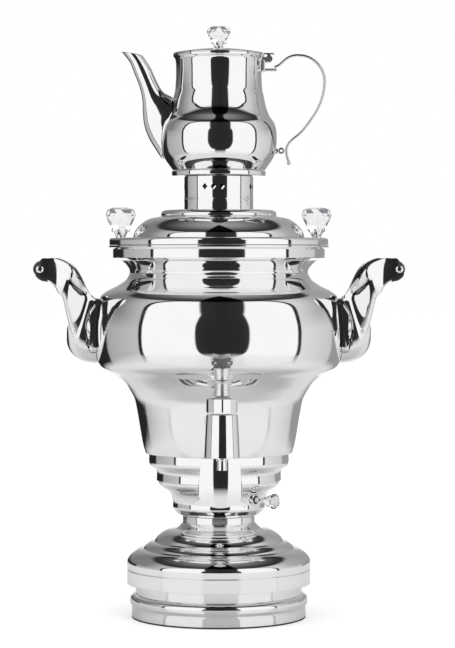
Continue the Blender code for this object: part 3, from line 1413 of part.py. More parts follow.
def make_inlet(envelope):
    """The inlet's housing, seated through the bowl's window, with its three pins in the recess."""
    face = radius_at(bowl_path(), INLET_LEVEL) + INLET_PROUD
    floor = face - INLET_RECESS_DEPTH
    wide, tall = INLET_HALF_WIDTH, INLET_HALF_HEIGHT
    low = (-wide - INLET_LIP, BOWL_RADIUS / 2, INLET_LEVEL - tall - INLET_LIP)
    high = (wide + INLET_LIP, face, INLET_LEVEL + tall + INLET_LIP)
    inlet = part("inlet_socket", box_mesh("inlet_socket", low, high), "black plastic", ROOT)
    cut(inlet, envelope)
    low = (-wide, face - INLET_DEPTH, INLET_LEVEL - tall)
    join(inlet, box_cutter("inlet_shell", low, (wide, face - GAP, INLET_LEVEL + tall)))
    low = (INLET_WALL - wide, floor, INLET_LEVEL - tall + INLET_WALL)
    high = (wide - INLET_WALL, face + OVERRUN, INLET_LEVEL + tall - INLET_WALL)
    cut(inlet, box_cutter("inlet_recess", low, high))
    names = ("inlet_pin_left", "inlet_pin_earth", "inlet_pin_right")
    for i, name in enumerate(names):
        offset = (1 - i) * PIN_SPACING
        level = INLET_LEVEL + (PIN_STAGGER if i == 1 else -PIN_STAGGER) / 2
        start = (offset, floor - PIN_ROOT, level)
        end = (offset, floor + PIN_LENGTH, level)
        part(name, rod_mesh(name, start, end, PIN_RADIUS, CRYSTAL_FACETS), "brass", ROOT)
        hole_start = (offset, floor - PIN_ROOT - GAP, level)
        hole_end = (offset, floor + OVERRUN, level)
        cut(inlet, rod_cutter(f"{name}_hole", hole_start, hole_end, PIN_RADIUS + GAP, CRYSTAL_FACETS))


def sector_mesh(name, outline, side, facets):
    """A closed outline spun through some facets about the vessel's axis, centred on one side."""
    bm = bmesh.new()
    verts = [bm.verts.new((radius * side, 0, height)) for radius, height in outline]
    edges = [bm.edges.new((verts[i - 1], verts[i])) for i in range(len(verts))]
    sweep = math.radians(PAD_FACET_DEGREES * facets)
    start = Matrix.Rotation(-sweep / 2, 3, "Z")
    bmesh.ops.rotate(bm, cent=(0, 0, 0), matrix=start, verts=verts)
    bmesh.ops.spin(
        bm,
        geom=verts + edges,
        cent=(0, 0, 0),
        axis=(0, 0, 1),
        angle=sweep,
        steps=facets,
        use_duplicate=False,
    )
    bmesh.ops.holes_fill(bm, edges=[edge for edge in bm.edges if edge.is_boundary])
    return mesh_from(name, bm, smooth=True)


def pad_outline(grown):
    """The pad's section, from its root inside the vessel's wall out to its face. It can be grown."""
    low = BULGE_LEVEL - PAD_DROP
    height = PAD_DROP + PAD_RISE
    face = [(BULGE_RADIUS + PAD_PROUD * out, low + height * up) for out, up in PAD_SHARES]
    root = BULGE_RADIUS - PAD_ROOT
    return moved_path([(root, low + height), *face, (root, low)], -grown)


def wing_place(side, end, station, share):
    """A point of a wing's middle surface: a station along it, and a share from its upper to lower edge."""
    index = min(int(station), len(WING_SHARES) - 2)
    part_way = station - index
    before, after = WING_SHARES[index], WING_SHARES[index + 1]
    shares = [one + (other - one) * part_way for one, other in zip(before, after)]
    high_out, high_up, low_out, low_up, spread = shares
    x = BULGE_RADIUS + HANDLE_REACH * (high_out + (low_out - high_out) * share)
    z = BULGE_LEVEL + HANDLE_RISE * (high_up + (low_up - high_up) * share)
    y = WING_ROOT_SPREAD + (WING_TIP_SPREAD - WING_ROOT_SPREAD) * spread
    return Vector((side * x, end * y, z))


def wing_inward(side, end, station, share):
    """The direction square to a wing's surface that points between the two wings."""
    nudge = 1 / 16
    here = wing_place(side, end, station, share)
    along = wing_place(side, end, station + nudge, share) - here
    down = wing_place(side, end, station, share + nudge) - here
    normal = along.cross(down).normalized()
    return normal if normal.y * end < 0 else -normal


def make_wing(side, end, pad_room, screw_hole):
    name = side_name(side, "right", "left") + side_name(end, "_wing_rear", "_wing_front")
    rows = []
    for station in range(len(WING_SHARES)):
        rows.append([wing_place(side, end, station, row / WING_ROWS) for row in range(WING_ROWS + 1)])
    wing = part(name, sheet_mesh(name, rows), "polished steel", ROOT)
    solidify(wing, WING_THICKNESS)
    cut(wing, pad_room, screw_hole)


def make_cup(side, pad_room, envelope):
    """The cup that closes the handle below, hung between the lower edges of its wings."""
    name = side_name(side, "right_cup", "left_cup")
    clear = (WING_THICKNESS + CUP_THICKNESS) / 2 + GAP
    turns = [math.pi * i / CUP_COLUMNS for i in range(CUP_COLUMNS + 1)]
    rows = []
    for station, out, drop in CUP_SHARES:
        inward = wing_inward(side, 1, station, CUP_EDGE_SHARE)
        rear = wing_place(side, 1, station, CUP_EDGE_SHARE) + inward * clear
        half_width = Vector((0, rear.y, 0))
        middle = rear - half_width
        low = Vector((side * (BULGE_RADIUS + CUP_REACH * out), 0, BULGE_LEVEL - CUP_DROP * drop))
        rows.append(
            [middle - half_width * math.cos(turn) + (low - middle) * math.sin(turn) for turn in turns]
        )
    cup = part(name, sheet_mesh(name, rows), "polished steel", ROOT)
    solidify(cup, CUP_THICKNESS)
    cut(cup, envelope, pad_room)


def make_grip(side):
    """The bar between the wings' tips, and the two screws that hold it."""
    prefix = side_name(side, "right", "left")
    inner_face = WING_TIP_SPREAD - WING_THICKNESS / 2
    outer_face = WING_TIP_SPREAD + WING_THICKNESS / 2
    half_length = inner_face - GAP
    x = side * (BULGE_RADIUS + HANDLE_REACH - GRIP_INSET)
    level = BULGE_LEVEL + HANDLE_RISE - GRIP_DROP
    place = (x, 0, level)
    swell = GRIP_RADIUS - GRIP_END_RADIUS
    bar = solid_outline(
        [(GRIP_END_RADIUS + swell * out, half_length * along) for out, along in GRIP_SHARES]
    )
    lengthwise = (math.pi / 2, 0, 0)
    grip = turned(f"{prefix}_grip", bar, "black plastic", ROOT, SMALL_STEPS, place, lengthwise)
    head_bottom = outer_face + GAP
    head = [
        (SCREW_HEAD_RADIUS * across, head_bottom + SCREW_HEAD_HEIGHT * up)
        for across, up in SCREW_DOME_SHARES
    ]
    tip = head_bottom - SCREW_LENGTH
    outline = solid_outline([*head, (SCREW_RADIUS, head_bottom), (SCREW_RADIUS, tip)])
    for end in (-1, 1):
        name = prefix + side_name(end, "_screw_rear", "_screw_front")
        turned(name, outline, "polished steel", ROOT, SMALL_STEPS, place, (-end * math.pi / 2, 0, 0))
        start = (x, end * (tip - GAP), level)
        finish = (x, end * outer_face, level)
        cut(grip, rod_cutter(f"{name}_bore", start, finish, SCREW_RADIUS + GAP))


def make_handle(side, envelope):
    name = side_name(side, "right_pad", "left_pad")
    pad = part(name, sector_mesh(name, pad_outline(0), side, PAD_FACETS), "polished steel", ROOT)
    cut(pad, envelope)
    room = cutter("pad_room", sector_mesh("pad_room", pad_outline(GAP), side, PAD_FACETS * 2))
    x = side * (BULGE_RADIUS + HANDLE_REACH - GRIP_INSET)
    level = BULGE_LEVEL + HANDLE_RISE - GRIP_DROP
    reach = WING_TIP_SPREAD + OVERRUN
    screw_hole = rod_cutter("screw_hole", (x, -reach, level), (x, reach, level), SCREW_RADIUS + GAP)
    for end in (-1, 1):
        make_wing(side, end, room, screw_hole)
    make_cup(side, room, envelope)
    make_grip(side)


def make_samovar():
    vessel_envelope = turned_cutter("vessel_envelope", solid_outline(moved_path(vessel_path(), -GAP)))
    bowl_envelope = turned_cutter("bowl_envelope", solid_outline(moved_path(bowl_path(), -GAP)))
    pot_envelope = turned_cutter("pot_envelope", solid_outline(moved_path(pot_path(), -GAP)), POT_STEPS)
    lid_lift = new_empty("lid_lift", (0, 0, LID_BOTTOM), ROOT)
    pot_lift = new_empty("teapot_lift", (0, 0, POT_BOTTOM), ROOT)
    lid_hinge = new_empty("teapot_lid_hinge", (HINGE_REACH, 0, HINGE_LEVEL), ROOT)
    tap_turn = new_empty("tap_turn", (0, -tap_reach(), TAP_LEVEL), ROOT)
    control_turn = new_empty("control_turn", (0, 0, CONTROL_LEVEL), ROOT)
    make_heating_element()
    make_pot_strap(pot_lift)
    make_tap_key(tap_turn)
    make_foot()
    make_base_shell()
    make_base_plate()
    make_bowl()
    make_collar()
    make_drip_guard()
    make_vessel()
    make_rim_band()
    make_lid(lid_lift)
    make_chimney(lid_lift)
    make_pot_body(pot_lift)
    make_spout(pot_lift, pot_envelope)
    make_pot_socket(pot_lift, pot_envelope)
    make_hinge_pin(pot_lift)
    make_pot_eye(pot_lift, pot_envelope)
    make_pot_lid(lid_hinge)
    make_tap_body()
    make_tap_mount(vessel_envelope)
    make_tap_nozzle()
    make_tap_bonnet()
    make_tap_plug(tap_turn)
    make_control(control_turn, bowl_envelope)
    make_inlet(bowl_envelope)
    for side in (-1, 1):
        make_handle(side, vessel_envelope)


clear_scene()
PARTS = new_collection("samovar")
CUTTERS = new_collection("cutters")
FRONT_REACH = tap_reach() + TAP_BOTTOM_RADIUS
ROOT = new_empty("samovar_root", (0, (FRONT_REACH - BULGE_RADIUS) / 2, 0))
make_samovar()
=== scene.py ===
"""The samovar's looks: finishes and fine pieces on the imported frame, and the studio round it."""

import json
import math

import bmesh
import bpy
from mathutils import Matrix, Vector


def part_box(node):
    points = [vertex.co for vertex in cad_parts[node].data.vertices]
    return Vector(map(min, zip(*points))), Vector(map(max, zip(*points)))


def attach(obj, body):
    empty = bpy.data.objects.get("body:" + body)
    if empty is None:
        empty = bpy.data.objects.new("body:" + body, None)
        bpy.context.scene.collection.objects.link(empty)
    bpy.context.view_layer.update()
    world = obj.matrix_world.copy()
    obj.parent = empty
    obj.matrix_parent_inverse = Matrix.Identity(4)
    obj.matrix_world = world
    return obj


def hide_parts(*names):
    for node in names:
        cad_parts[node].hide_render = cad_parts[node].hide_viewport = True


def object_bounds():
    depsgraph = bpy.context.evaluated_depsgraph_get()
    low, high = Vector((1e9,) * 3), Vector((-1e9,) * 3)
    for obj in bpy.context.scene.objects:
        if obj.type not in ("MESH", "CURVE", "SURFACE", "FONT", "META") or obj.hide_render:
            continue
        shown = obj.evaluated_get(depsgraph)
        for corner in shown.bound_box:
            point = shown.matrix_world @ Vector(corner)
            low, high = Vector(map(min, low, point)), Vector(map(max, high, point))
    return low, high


bpy.context.scene.view_settings.view_transform = "Standard"

# Fits that serve the whole assembly
GAP = 0.0003
OVERRUN = 0.003
LEVEL_RUN = 0.1

# Facets round the tap's bonnet
BONNET_FACETS = 12

# Foot ring and the rubber under it
GASKET_THICKNESS = 0.0012
GASKET_WIDTH = 0.0035
FOOT_RADIUS = 0.0826
FOOT_WALL = 0.0014
FOOT_BAND_HEIGHT = 0.0098
FOOT_BEAD_HEIGHT = 0.0115
FOOT_BEAD_PROUD = 0.0017
FOOT_NECK_INSET = 0.0038
FOOT_NECK_HEIGHT = 0.0092
FOOT_FLANGE_WIDTH = 0.0130
FOOT_CREST_SHARE = 0.42
FOOT_BEAD_UPPER_SHARES = ((0.0, 0.0), (0.55, 0.12), (0.91, 0.47), (1.0, 1.0))
FOOT_BEAD_LOWER_SHARES = ((0.30, 0.60), (1.0, 1.0))

# Stepped base shell
SHELL_WALL = 0.0012
SKIRT_PROUD = 0.0045
SKIRT_RADIUS = FOOT_RADIUS + SKIRT_PROUD
SKIRT_HEIGHT = 0.0217
HEM_WIDTH = 0.0111
LOWER_TIER_HEIGHT = 0.0116
MIDDLE_TIER_RADIUS = 0.0716
MIDDLE_TIER_HEIGHT = 0.0066
UPPER_TIER_RADIUS = 0.0614
UPPER_TIER_HEIGHT = 0.0118
FLARE_RADIUS = 0.0420
FLARE_HEIGHT = 0.0062
WAIST_RADIUS = 0.0342
WAIST_HEIGHT = 0.0063
WAIST_FLANGE_WIDTH = 0.0120
TIER_SHARES = ((0.0, 0.0), (0.10, 0.30), (0.33, 0.66), (0.65, 0.92))
FLARE_SHARES = ((0.0, 0.0), (0.22, 0.08), (0.64, 0.53), (1.0, 1.0))

# Bowl that joins the base to the vessel and holds the electrics
BOWL_WALL = 0.0012
BOWL_TOP_RADIUS = 0.0575
BOWL_COVE_HEIGHT = 0.0111
BOWL_SHOULDER_RADIUS = 0.0465
BOWL_SIDE_HEIGHT = 0.0086
BOWL_RADIUS = 0.0437
BOWL_BAND_HEIGHT = 0.0060
BOWL_CURVE_HEIGHT = 0.0072
BOWL_FOOT_PROUD = 0.0004
BOWL_FLANGE_WIDTH = 0.0122
BOWL_COVE_SHARES = ((0.0, 0.0), (0.055, 0.243), (0.26, 0.486), (0.655, 0.739), (1.0, 1.0))
BOWL_CURVE_SHARES = ((0.0, 0.0), (0.21, 0.35), (0.47, 0.74), (1.0, 1.0))

# Two-banded collar under the vessel
COLLAR_WALL = 0.0014
COLLAR_LOWER_RADIUS = 0.0593
COLLAR_LOWER_HEIGHT = 0.0086
COLLAR_STEP_HEIGHT = 0.0084
COLLAR_UPPER_RADIUS = 0.0664
COLLAR_UPPER_HEIGHT = 0.0087
COLLAR_FLANGE_WIDTH = 0.0100
COLLAR_STEP_SHARES = ((0.0, 0.0), (0.20, 0.33), (0.80, 0.64), (1.0, 1.0))

# Drip guard under the tap: a bent plate in front of the collar, with a rounded lower edge
GUARD_WALL = 0.0011
GUARD_BEND_RADIUS = 0.0350
GUARD_TOP_HALF_WIDTH = 0.0175
GUARD_HALF_WIDTH = 0.0209
GUARD_HEIGHT = 0.0456
GUARD_ROUND_HEIGHT = 0.0139

# Vessel
VESSEL_WALL = 0.0014
VESSEL_FOOT_RADIUS = 0.0698
CONE_HEIGHT = 0.0510
CONE_RADIUS = 0.0802
UNDERBULGE_HEIGHT = 0.0610
BULGE_RADIUS = 0.1186
OVERBULGE_HEIGHT = 0.0585
NECK_RADIUS = 0.0845
THROAT_HEIGHT = 0.0115
MOUTH_RADIUS = 0.0940
THROAT_SHARES = ((0.0, 0.0), (0.55, 0.39), (0.93, 0.76), (1.0, 1.0))
OVERBULGE_SHARES = (
    (0.10, 0.10),
    (0.331, 0.197),
    (0.654, 0.292),
    (0.833, 0.39),
    (0.962, 0.675),
    (1.0, 1.0),
)
UNDERBULGE_SHARES = (
    (0.042, 0.295),
    (0.159, 0.489),
    (0.505, 0.628),
    (0.779, 0.77),
    (0.927, 0.908),
    (1.0, 1.0),
)
CONE_SHARES = ((0.23, 0.21), (0.78, 0.85), (1.0, 1.0))

# Rim band round the vessel's mouth
BAND_RADIUS = MOUTH_RADIUS + 0.0066
BAND_BORE_RADIUS = MOUTH_RADIUS + 0.0022
BAND_CHAMFER_HEIGHT = 0.0024
BAND_HEIGHT = 0.0083
BAND_STEP_HEIGHT = 0.0016
RIM_RADIUS = MOUTH_RADIUS + 0.0104
RIM_HEIGHT = 0.0018

# Lid
LID_WALL = 0.0012
LID_RADIUS = RIM_RADIUS - 0.0005
LID_BRIM_HEIGHT = 0.0067
LID_BRIM_ROUND = 0.0016
LID_SKIRT_DEPTH = 0.0080
LID_SKIRT_PLAY = 0.0007
LID_DOME_RADIUS = 0.0816
LID_DOME_HEIGHT = 0.0208
LID_CROWN_RADIUS = 0.0548
LID_CROWN_HEIGHT = 0.0055
LID_CROWN_ROUND = 0.0033
LID_HOLE_RADIUS = 0.0300
LID_DOME_SHARES = (
    (0.0, 0.0),
    (0.433, 0.124),
    (0.69, 0.33),
    (0.858, 0.545),
    (0.955, 0.76),
    (1.0, 1.0),
)

# Crystal knobs, each in a ferrule that is riveted through its lid
LID_KNOB_REACH = LID_RADIUS - 0.0111
LID_FERRULE_FOOT_RADIUS = 0.0046
LID_FERRULE_RADIUS = 0.0069
LID_FERRULE_HEIGHT = 0.0078
LID_CRYSTAL_RADIUS = 0.0142
LID_CRYSTAL_HEIGHT = 0.0206
LID_RIVET_RADIUS = 0.0018
LID_RIVET_HEAD_RADIUS = 0.0034
LID_RIVET_HEAD_HEIGHT = 0.0014
POT_FERRULE_FOOT_RADIUS = 0.0042
POT_FERRULE_RADIUS = 0.0058
POT_FERRULE_HEIGHT = 0.0052
POT_CRYSTAL_RADIUS = 0.0113
POT_CRYSTAL_HEIGHT = 0.0149
POT_RIVET_RADIUS = 0.0016
POT_RIVET_HEAD_RADIUS = 0.0030
POT_RIVET_HEAD_HEIGHT = 0.0012

# Chimney and the ring on it that carries the teapot
CHIMNEY_RADIUS = 0.0328
CHIMNEY_WALL = 0.0014
CHIMNEY_HEIGHT = 0.0316
DIAMOND_WIDTH = 0.0040
DIAMOND_HEIGHT = 0.0066
DIAMOND_DROP = 0.0100
DIAMONDS_IN_GROUP = 3
DIAMOND_GROUPS = 4
DIAMOND_STEP_DEGREES = 14.5
DIAMOND_TURN_DEGREES = -10.3
STAND_RADIUS = 0.0446
STAND_HEIGHT = 0.0051
STAND_ROUND = 0.0008
STAND_SPIGOT_DEPTH = 0.0060
STAND_SPIGOT_WALL = 0.0016

# Teapot
POT_WALL = 0.0012
POT_FOOT_RADIUS = 0.0437
POT_BELLY_RADIUS = 0.0550
POT_BELLY_HEIGHT = 0.0297
POT_SHOULDER_HEIGHT = 0.0470
POT_NECK_RADIUS = 0.0413
POT_NECK_HEIGHT = 0.0281
POT_FLARE_HEIGHT = 0.0026
POT_RIM_HEIGHT = 0.0018
POT_RIM_PROUD = 0.0019
POT_BELLY_SHARES = (
    (0.0, 0.0), (0.168, 0.09), (0.54, 0.286), (0.83, 0.51), (0.97, 0.76), (1.0, 1.0)
)
POT_SHOULDER_SHARES = (
    (0.03, 0.18),
    (0.17, 0.325),
    (0.482, 0.457),
    (0.75, 0.66),
    (0.90, 0.87),
    (1.0, 1.0),
)
POT_LID_WALL = 0.0011
POT_LID_EDGE_HEIGHT = 0.0012
POT_LID_RISE = 0.0050
POT_LID_FLAT_RADIUS = 0.0060
POT_LID_SKIRT_DEPTH = 0.0040
POT_LID_SKIRT_PLAY = 0.0008

# Teapot spout: each ring runs from a lower to an upper edge, given as shares of reach and height
SPOUT_REACH = 0.0915
SPOUT_HEIGHT = 0.1117
SPOUT_HALF_WIDTH = 0.0130
SPOUT_WALL = 0.0012
SPOUT_PORT_RADIUS = 0.0080
SPOUT_PORT_LEVEL = 0.0345
# Shares: lower edge out and up, upper edge out and up, then half width
SPOUT_SHARES = (
    (0.481, 0.112, 0.328, 0.416, 0.85),
    (0.578, 0.098, 0.361, 0.452, 0.96),
    (0.658, 0.184, 0.372, 0.506, 1.0),
    (0.727, 0.281, 0.393, 0.560, 0.96),
    (0.772, 0.387, 0.426, 0.595, 0.85),
    (0.786, 0.509, 0.492, 0.627, 0.715),
    (0.791, 0.606, 0.573, 0.665, 0.63),
    (0.822, 0.713, 0.638, 0.752, 0.585),
    (0.871, 0.817, 0.697, 0.859, 0.56),
    (0.920, 0.915, 0.741, 0.918, 0.555),
    (1.0, 1.0, 0.783, 0.968, 0.585),
)

# Teapot handle: a bent strap from an arm near the rim down past an eye on the belly
STRAP_THICKNESS = 0.0024
STRAP_WIDTH = 0.0120
STRAP_REACH = 0.0368
STRAP_HEIGHT = 0.0901
# Shares of the strap's reach and height from the eye, from its tail up and over to the arm
STRAP_SHARES = (
    (0.08, -0.127),
    (0.03, -0.067),
    (0.0, 0.0),
    (0.046, 0.067),
    (0.133, 0.108),
    (0.359, 0.18),
    (0.582, 0.291),
    (0.78, 0.413),
    (0.908, 0.526),
    (0.981, 0.648),
    (1.0, 0.729),
    (0.957, 0.822),
    (0.88, 0.883),
    (0.758, 0.933),
    (0.557, 0.984),
    (0.359, 1.0),
    (0.158, 0.994),
    (0.008, 0.964),
    (-0.141, 0.909),
)
STRAP_LAP = 0.0024
SOCKET_HALF_WIDTH = 0.0070
SOCKET_FACE = POT_NECK_RADIUS + 0.0023
SOCKET_DROP = 0.0042
SOCKET_HEIGHT = 0.0118
ARM_REACH = POT_NECK_RADIUS + 0.0137
ARM_HALF_WIDTH = 0.0045
ARM_DROP = 0.0129
ARM_HEIGHT = 0.0024
EYE_REACH = POT_BELLY_RADIUS + 0.0041
EYE_RADIUS = 0.0030
EYE_HALF_WIDTH = 0.0050
EYE_HEIGHT = 0.0187
EYE_STEM_RADIUS = 0.0016
EYE_PAD_RADIUS = 0.0029
EYE_PAD_PROUD = 0.0014
HINGE_REACH = POT_NECK_RADIUS + 0.0061
HINGE_DROP = 0.0039
HINGE_RADIUS = 0.0032
HINGE_PIN_RADIUS = 0.0012
HINGE_HALF_WIDTH = 0.0075
HINGE_LEAF_HALF_WIDTH = 0.0025
HINGE_SIDE_PLAY = 0.0005
HINGE_WEB_INSET = 0.0016
HINGE_LEAF_REACH = POT_NECK_RADIUS + 0.0103
HINGE_LEAF_ROOT = POT_NECK_RADIUS - 0.0013
HINGE_LEAF_THICKNESS = 0.0013
HINGE_PIN_OVERHANG = 0.0006

# Tap
TAP_RISE = 0.0344
TAP_STANDOFF = 0.0107
TAP_BODY_DROP = 0.0285
TAP_BODY_RISE = 0.0103
TAP_TOP_RADIUS = 0.0143
TAP_BOTTOM_RADIUS = 0.0162
SHANK_RADIUS = 0.0075
SHANK_ROOT = 0.0090
SHANK_TAIL = 0.0030
FLOW_RADIUS = 0.0020
PLUG_RADIUS = 0.0062
PLUG_DROP = 0.0080
ROSETTE_RADIUS = 0.0150
ROSETTE_FACE_RADIUS = 0.0112
ROSETTE_PROUD = 0.0056
ROSETTE_EDGE = 0.0030
WASHER_THICKNESS = 0.0045
TAP_NUT_THICKNESS = 0.0050
BONNET_RADIUS = 0.0141
BONNET_HEIGHT = 0.0154
BONNET_CHAMFER = 0.0014
STEM_RADIUS = 0.0040
STEM_RISE = 0.0070
SPOOL_RADIUS = 0.0075
SPOOL_RING_RADIUS = 0.0082
SPOOL_THROAT_RADIUS = 0.0064
SPOOL_HEIGHT = 0.0260
SPOOL_RING_HEIGHT = 0.0020
SPOOL_RING_RISE = 0.0125
SPOOL_SOCKET_PLAY = 0.0006
KEY_HALF_WIDTH = 0.0097
KEY_HEIGHT = 0.0104
KEY_SINK = 0.0015
KEY_THICKNESS = 0.0046
KEY_SHARES = (
    (-0.60, 0.0),
    (-0.92, 0.24),
    (-1.0, 0.92),
    (-0.80, 1.0),
    (-0.42, 0.90),
    (0.0, 0.84),
    (0.42, 0.90),
    (0.80, 1.0),
    (1.0, 0.92),
    (0.92, 0.24),
    (0.60, 0.0),
)
NOZZLE_RADIUS = 0.0047
NOZZLE_COLLAR_RADIUS = 0.0056
NOZZLE_COLLAR_HEIGHT = 0.0018
NOZZLE_LENGTH = 0.0112
SPIGOT_RADIUS = 0.0038
SPIGOT_DEPTH = 0.0060

# Temperature control at the front of the bowl
CONTROL_AZIMUTH_DEGREES = 46
CONTROL_RISE = 0.0172
BUSHING_RADIUS = 0.0032
BUSHING_FLANGE_RADIUS = 0.0052
BUSHING_PROUD = 0.0022
BUSHING_SEAT = 0.0030
BUSHING_TAIL = 0.0030
SPINDLE_RADIUS = 0.0016
SPINDLE_TAIL = 0.0055
SPINDLE_NECK = 0.0070
CONTROL_FERRULE_FOOT_RADIUS = 0.0022
CONTROL_FERRULE_RADIUS = 0.0058
CONTROL_FERRULE_LENGTH = 0.0110
CONTROL_CRYSTAL_RADIUS = 0.0074
CONTROL_CRYSTAL_LENGTH = 0.0072
THERMOSTAT_SETBACK = 0.0090

# Mains inlet at the back of the bowl
INLET_RISE = 0.0142
INLET_HALF_WIDTH = 0.0130
INLET_HALF_HEIGHT = 0.0068
INLET_PROUD = 0.0060

# Handles: a pad on the vessel, two wings, a cup under them and a grip between their tips
PAD_RISE = 0.0340
PAD_DROP = 0.0160
PAD_PROUD = 0.0098
PAD_ROOT = 0.0150
PAD_FACETS = 6
PAD_FACET_DEGREES = 4.5
# Shares of the pad's proudness over the bulge, and of its height, from the top down
PAD_SHARES = (
    (-0.10, 1.0),
    (0.10, 0.94),
    (0.68, 0.76),
    (0.98, 0.56),
    (1.0, 0.40),
    (0.88, 0.20),
    (0.66, 0.08),
    (0.40, 0.0),
)
HANDLE_REACH = 0.0526
HANDLE_RISE = 0.0723
WING_ROOT_SPREAD = 0.0235
WING_TIP_SPREAD = 0.0490
WING_THICKNESS = 0.0020
# Shares of the handle's reach and rise: upper edge, then lower edge, then the share of the spread
WING_SHARES = (
    (-0.087, 0.443, -0.030, -0.160, 0.0),
    (0.074, 0.531, 0.236, -0.105, 0.05),
    (0.167, 0.638, 0.356, 0.012, 0.18),
    (0.249, 0.757, 0.443, 0.250, 0.44),
    (0.350, 0.871, 0.508, 0.484, 0.73),
    (0.479, 0.950, 0.586, 0.553, 0.89),
    (0.665, 1.0, 0.655, 0.640, 0.98),
    (0.779, 1.0, 0.772, 0.694, 1.0),
    (0.882, 0.994, 0.892, 0.714, 1.0),
    (0.960, 0.910, 0.973, 0.757, 1.0),
    (1.0, 0.864, 1.0, 0.795, 1.0),
)
GRIP_INSET = 0.0045
GRIP_DROP = 0.0101
GRIP_END_RADIUS = 0.0044
GRIP_RADIUS = 0.0080
SCREW_RADIUS = 0.0019
SCREW_HEAD_RADIUS = 0.0041
SCREW_HEAD_HEIGHT = 0.0022
SCREW_LENGTH = 0.0120
CUP_THICKNESS = 0.0018
CUP_REACH = 0.0244
CUP_DROP = 0.0262
CUP_EDGE_SHARE = 0.93
# Each ring of the cup: wing station, then shares of the cup's reach and drop from the bulge
CUP_SHARES = (
    (0.15, -0.27, 1.0),
    (0.50, 0.14, 0.977),
    (1.00, 0.53, 0.866),
    (1.50, 0.836, 0.63),
    (2.00, 1.0, 0.305),
    (2.50, 1.0, -0.153),
)

# Heights at which the stacked pieces begin, from the floor up
FOOT_BOTTOM = GASKET_THICKNESS + GAP
FOOT_TOP = FOOT_BOTTOM + FOOT_BAND_HEIGHT + FOOT_BEAD_HEIGHT + FOOT_NECK_HEIGHT
SHELL_BOTTOM = FOOT_TOP + GAP
SKIRT_TOP = SHELL_BOTTOM + SKIRT_HEIGHT
TIERS_TOP = SKIRT_TOP + LOWER_TIER_HEIGHT + MIDDLE_TIER_HEIGHT + UPPER_TIER_HEIGHT
SHELL_TOP = TIERS_TOP + FLARE_HEIGHT + WAIST_HEIGHT
BOWL_BOTTOM = SHELL_TOP + GAP
BOWL_TOP = BOWL_BOTTOM + BOWL_CURVE_HEIGHT + BOWL_BAND_HEIGHT + BOWL_SIDE_HEIGHT + BOWL_COVE_HEIGHT
COLLAR_BOTTOM = BOWL_TOP + GAP
COLLAR_TOP = COLLAR_BOTTOM + COLLAR_LOWER_HEIGHT + COLLAR_STEP_HEIGHT + COLLAR_UPPER_HEIGHT
VESSEL_BOTTOM = COLLAR_TOP + GAP
BULGE_LEVEL = VESSEL_BOTTOM + CONE_HEIGHT + UNDERBULGE_HEIGHT
VESSEL_TOP = BULGE_LEVEL + OVERBULGE_HEIGHT + THROAT_HEIGHT
BAND_BOTTOM = VESSEL_TOP + GAP
BAND_TOP = BAND_BOTTOM + BAND_CHAMFER_HEIGHT + BAND_HEIGHT + BAND_STEP_HEIGHT + RIM_HEIGHT
LID_BOTTOM = BAND_TOP + GAP
BRIM_TOP = LID_BOTTOM + LID_BRIM_HEIGHT
LID_TOP = BRIM_TOP + LID_DOME_HEIGHT + LID_CROWN_HEIGHT
CHIMNEY_BOTTOM = LID_TOP + GAP
CHIMNEY_TOP = CHIMNEY_BOTTOM + CHIMNEY_HEIGHT
STAND_BOTTOM = CHIMNEY_TOP + GAP
STAND_TOP = STAND_BOTTOM + STAND_HEIGHT
POT_BOTTOM = STAND_TOP + GAP
POT_NECK_BOTTOM = POT_BOTTOM + POT_BELLY_HEIGHT + POT_SHOULDER_HEIGHT
POT_TOP = POT_NECK_BOTTOM + POT_NECK_HEIGHT + POT_FLARE_HEIGHT + POT_RIM_HEIGHT
POT_LID_BOTTOM = POT_TOP + GAP
POT_LID_EDGE = POT_LID_BOTTOM + POT_LID_EDGE_HEIGHT
POT_LID_TOP = POT_LID_EDGE + POT_LID_RISE
TAP_LEVEL = VESSEL_BOTTOM + TAP_RISE
CONTROL_LEVEL = BOWL_BOTTOM + CONTROL_RISE
INLET_LEVEL = BOWL_BOTTOM + INLET_RISE
HINGE_LEVEL = POT_TOP - HINGE_DROP

# Each knob: ferrule's foot, ferrule and height, crystal and height, rivet, its head and height
LID_KNOB = (
    LID_FERRULE_FOOT_RADIUS,
    LID_FERRULE_RADIUS,
    LID_FERRULE_HEIGHT,
    LID_CRYSTAL_RADIUS,
    LID_CRYSTAL_HEIGHT,
    LID_RIVET_RADIUS,
    LID_RIVET_HEAD_RADIUS,
    LID_RIVET_HEAD_HEIGHT,
)
POT_KNOB = (
    POT_FERRULE_FOOT_RADIUS,
    POT_FERRULE_RADIUS,
    POT_FERRULE_HEIGHT,
    POT_CRYSTAL_RADIUS,
    POT_CRYSTAL_HEIGHT,
    POT_RIVET_RADIUS,
    POT_RIVET_HEAD_RADIUS,
    POT_RIVET_HEAD_HEIGHT,
)

# How finely the pieces are drawn
STEPS = 96
FINE_STEPS = 40
DRAW_STEP = 0.0004
THIN_DEGREES = 3.5
SPACING = 0.0040
INNER_SPACING = 0.0090
FINE_SPACING = 0.0020
FILLET = 0.0004
CORNER_DEGREES = 38
SHARP_DEGREES = 33
SMOOTH_ROUNDS = 6

AXIS_START = 0.0001
AXIS_CLEAR = 0.0002
STRAP_SPACING = 0.0015
KEY_SPACING = 0.12
PAD_SPACING = 0.0012
PAD_STEPS = 24
ROD_STEPS = 24
KNUCKLE_STEPS = 32

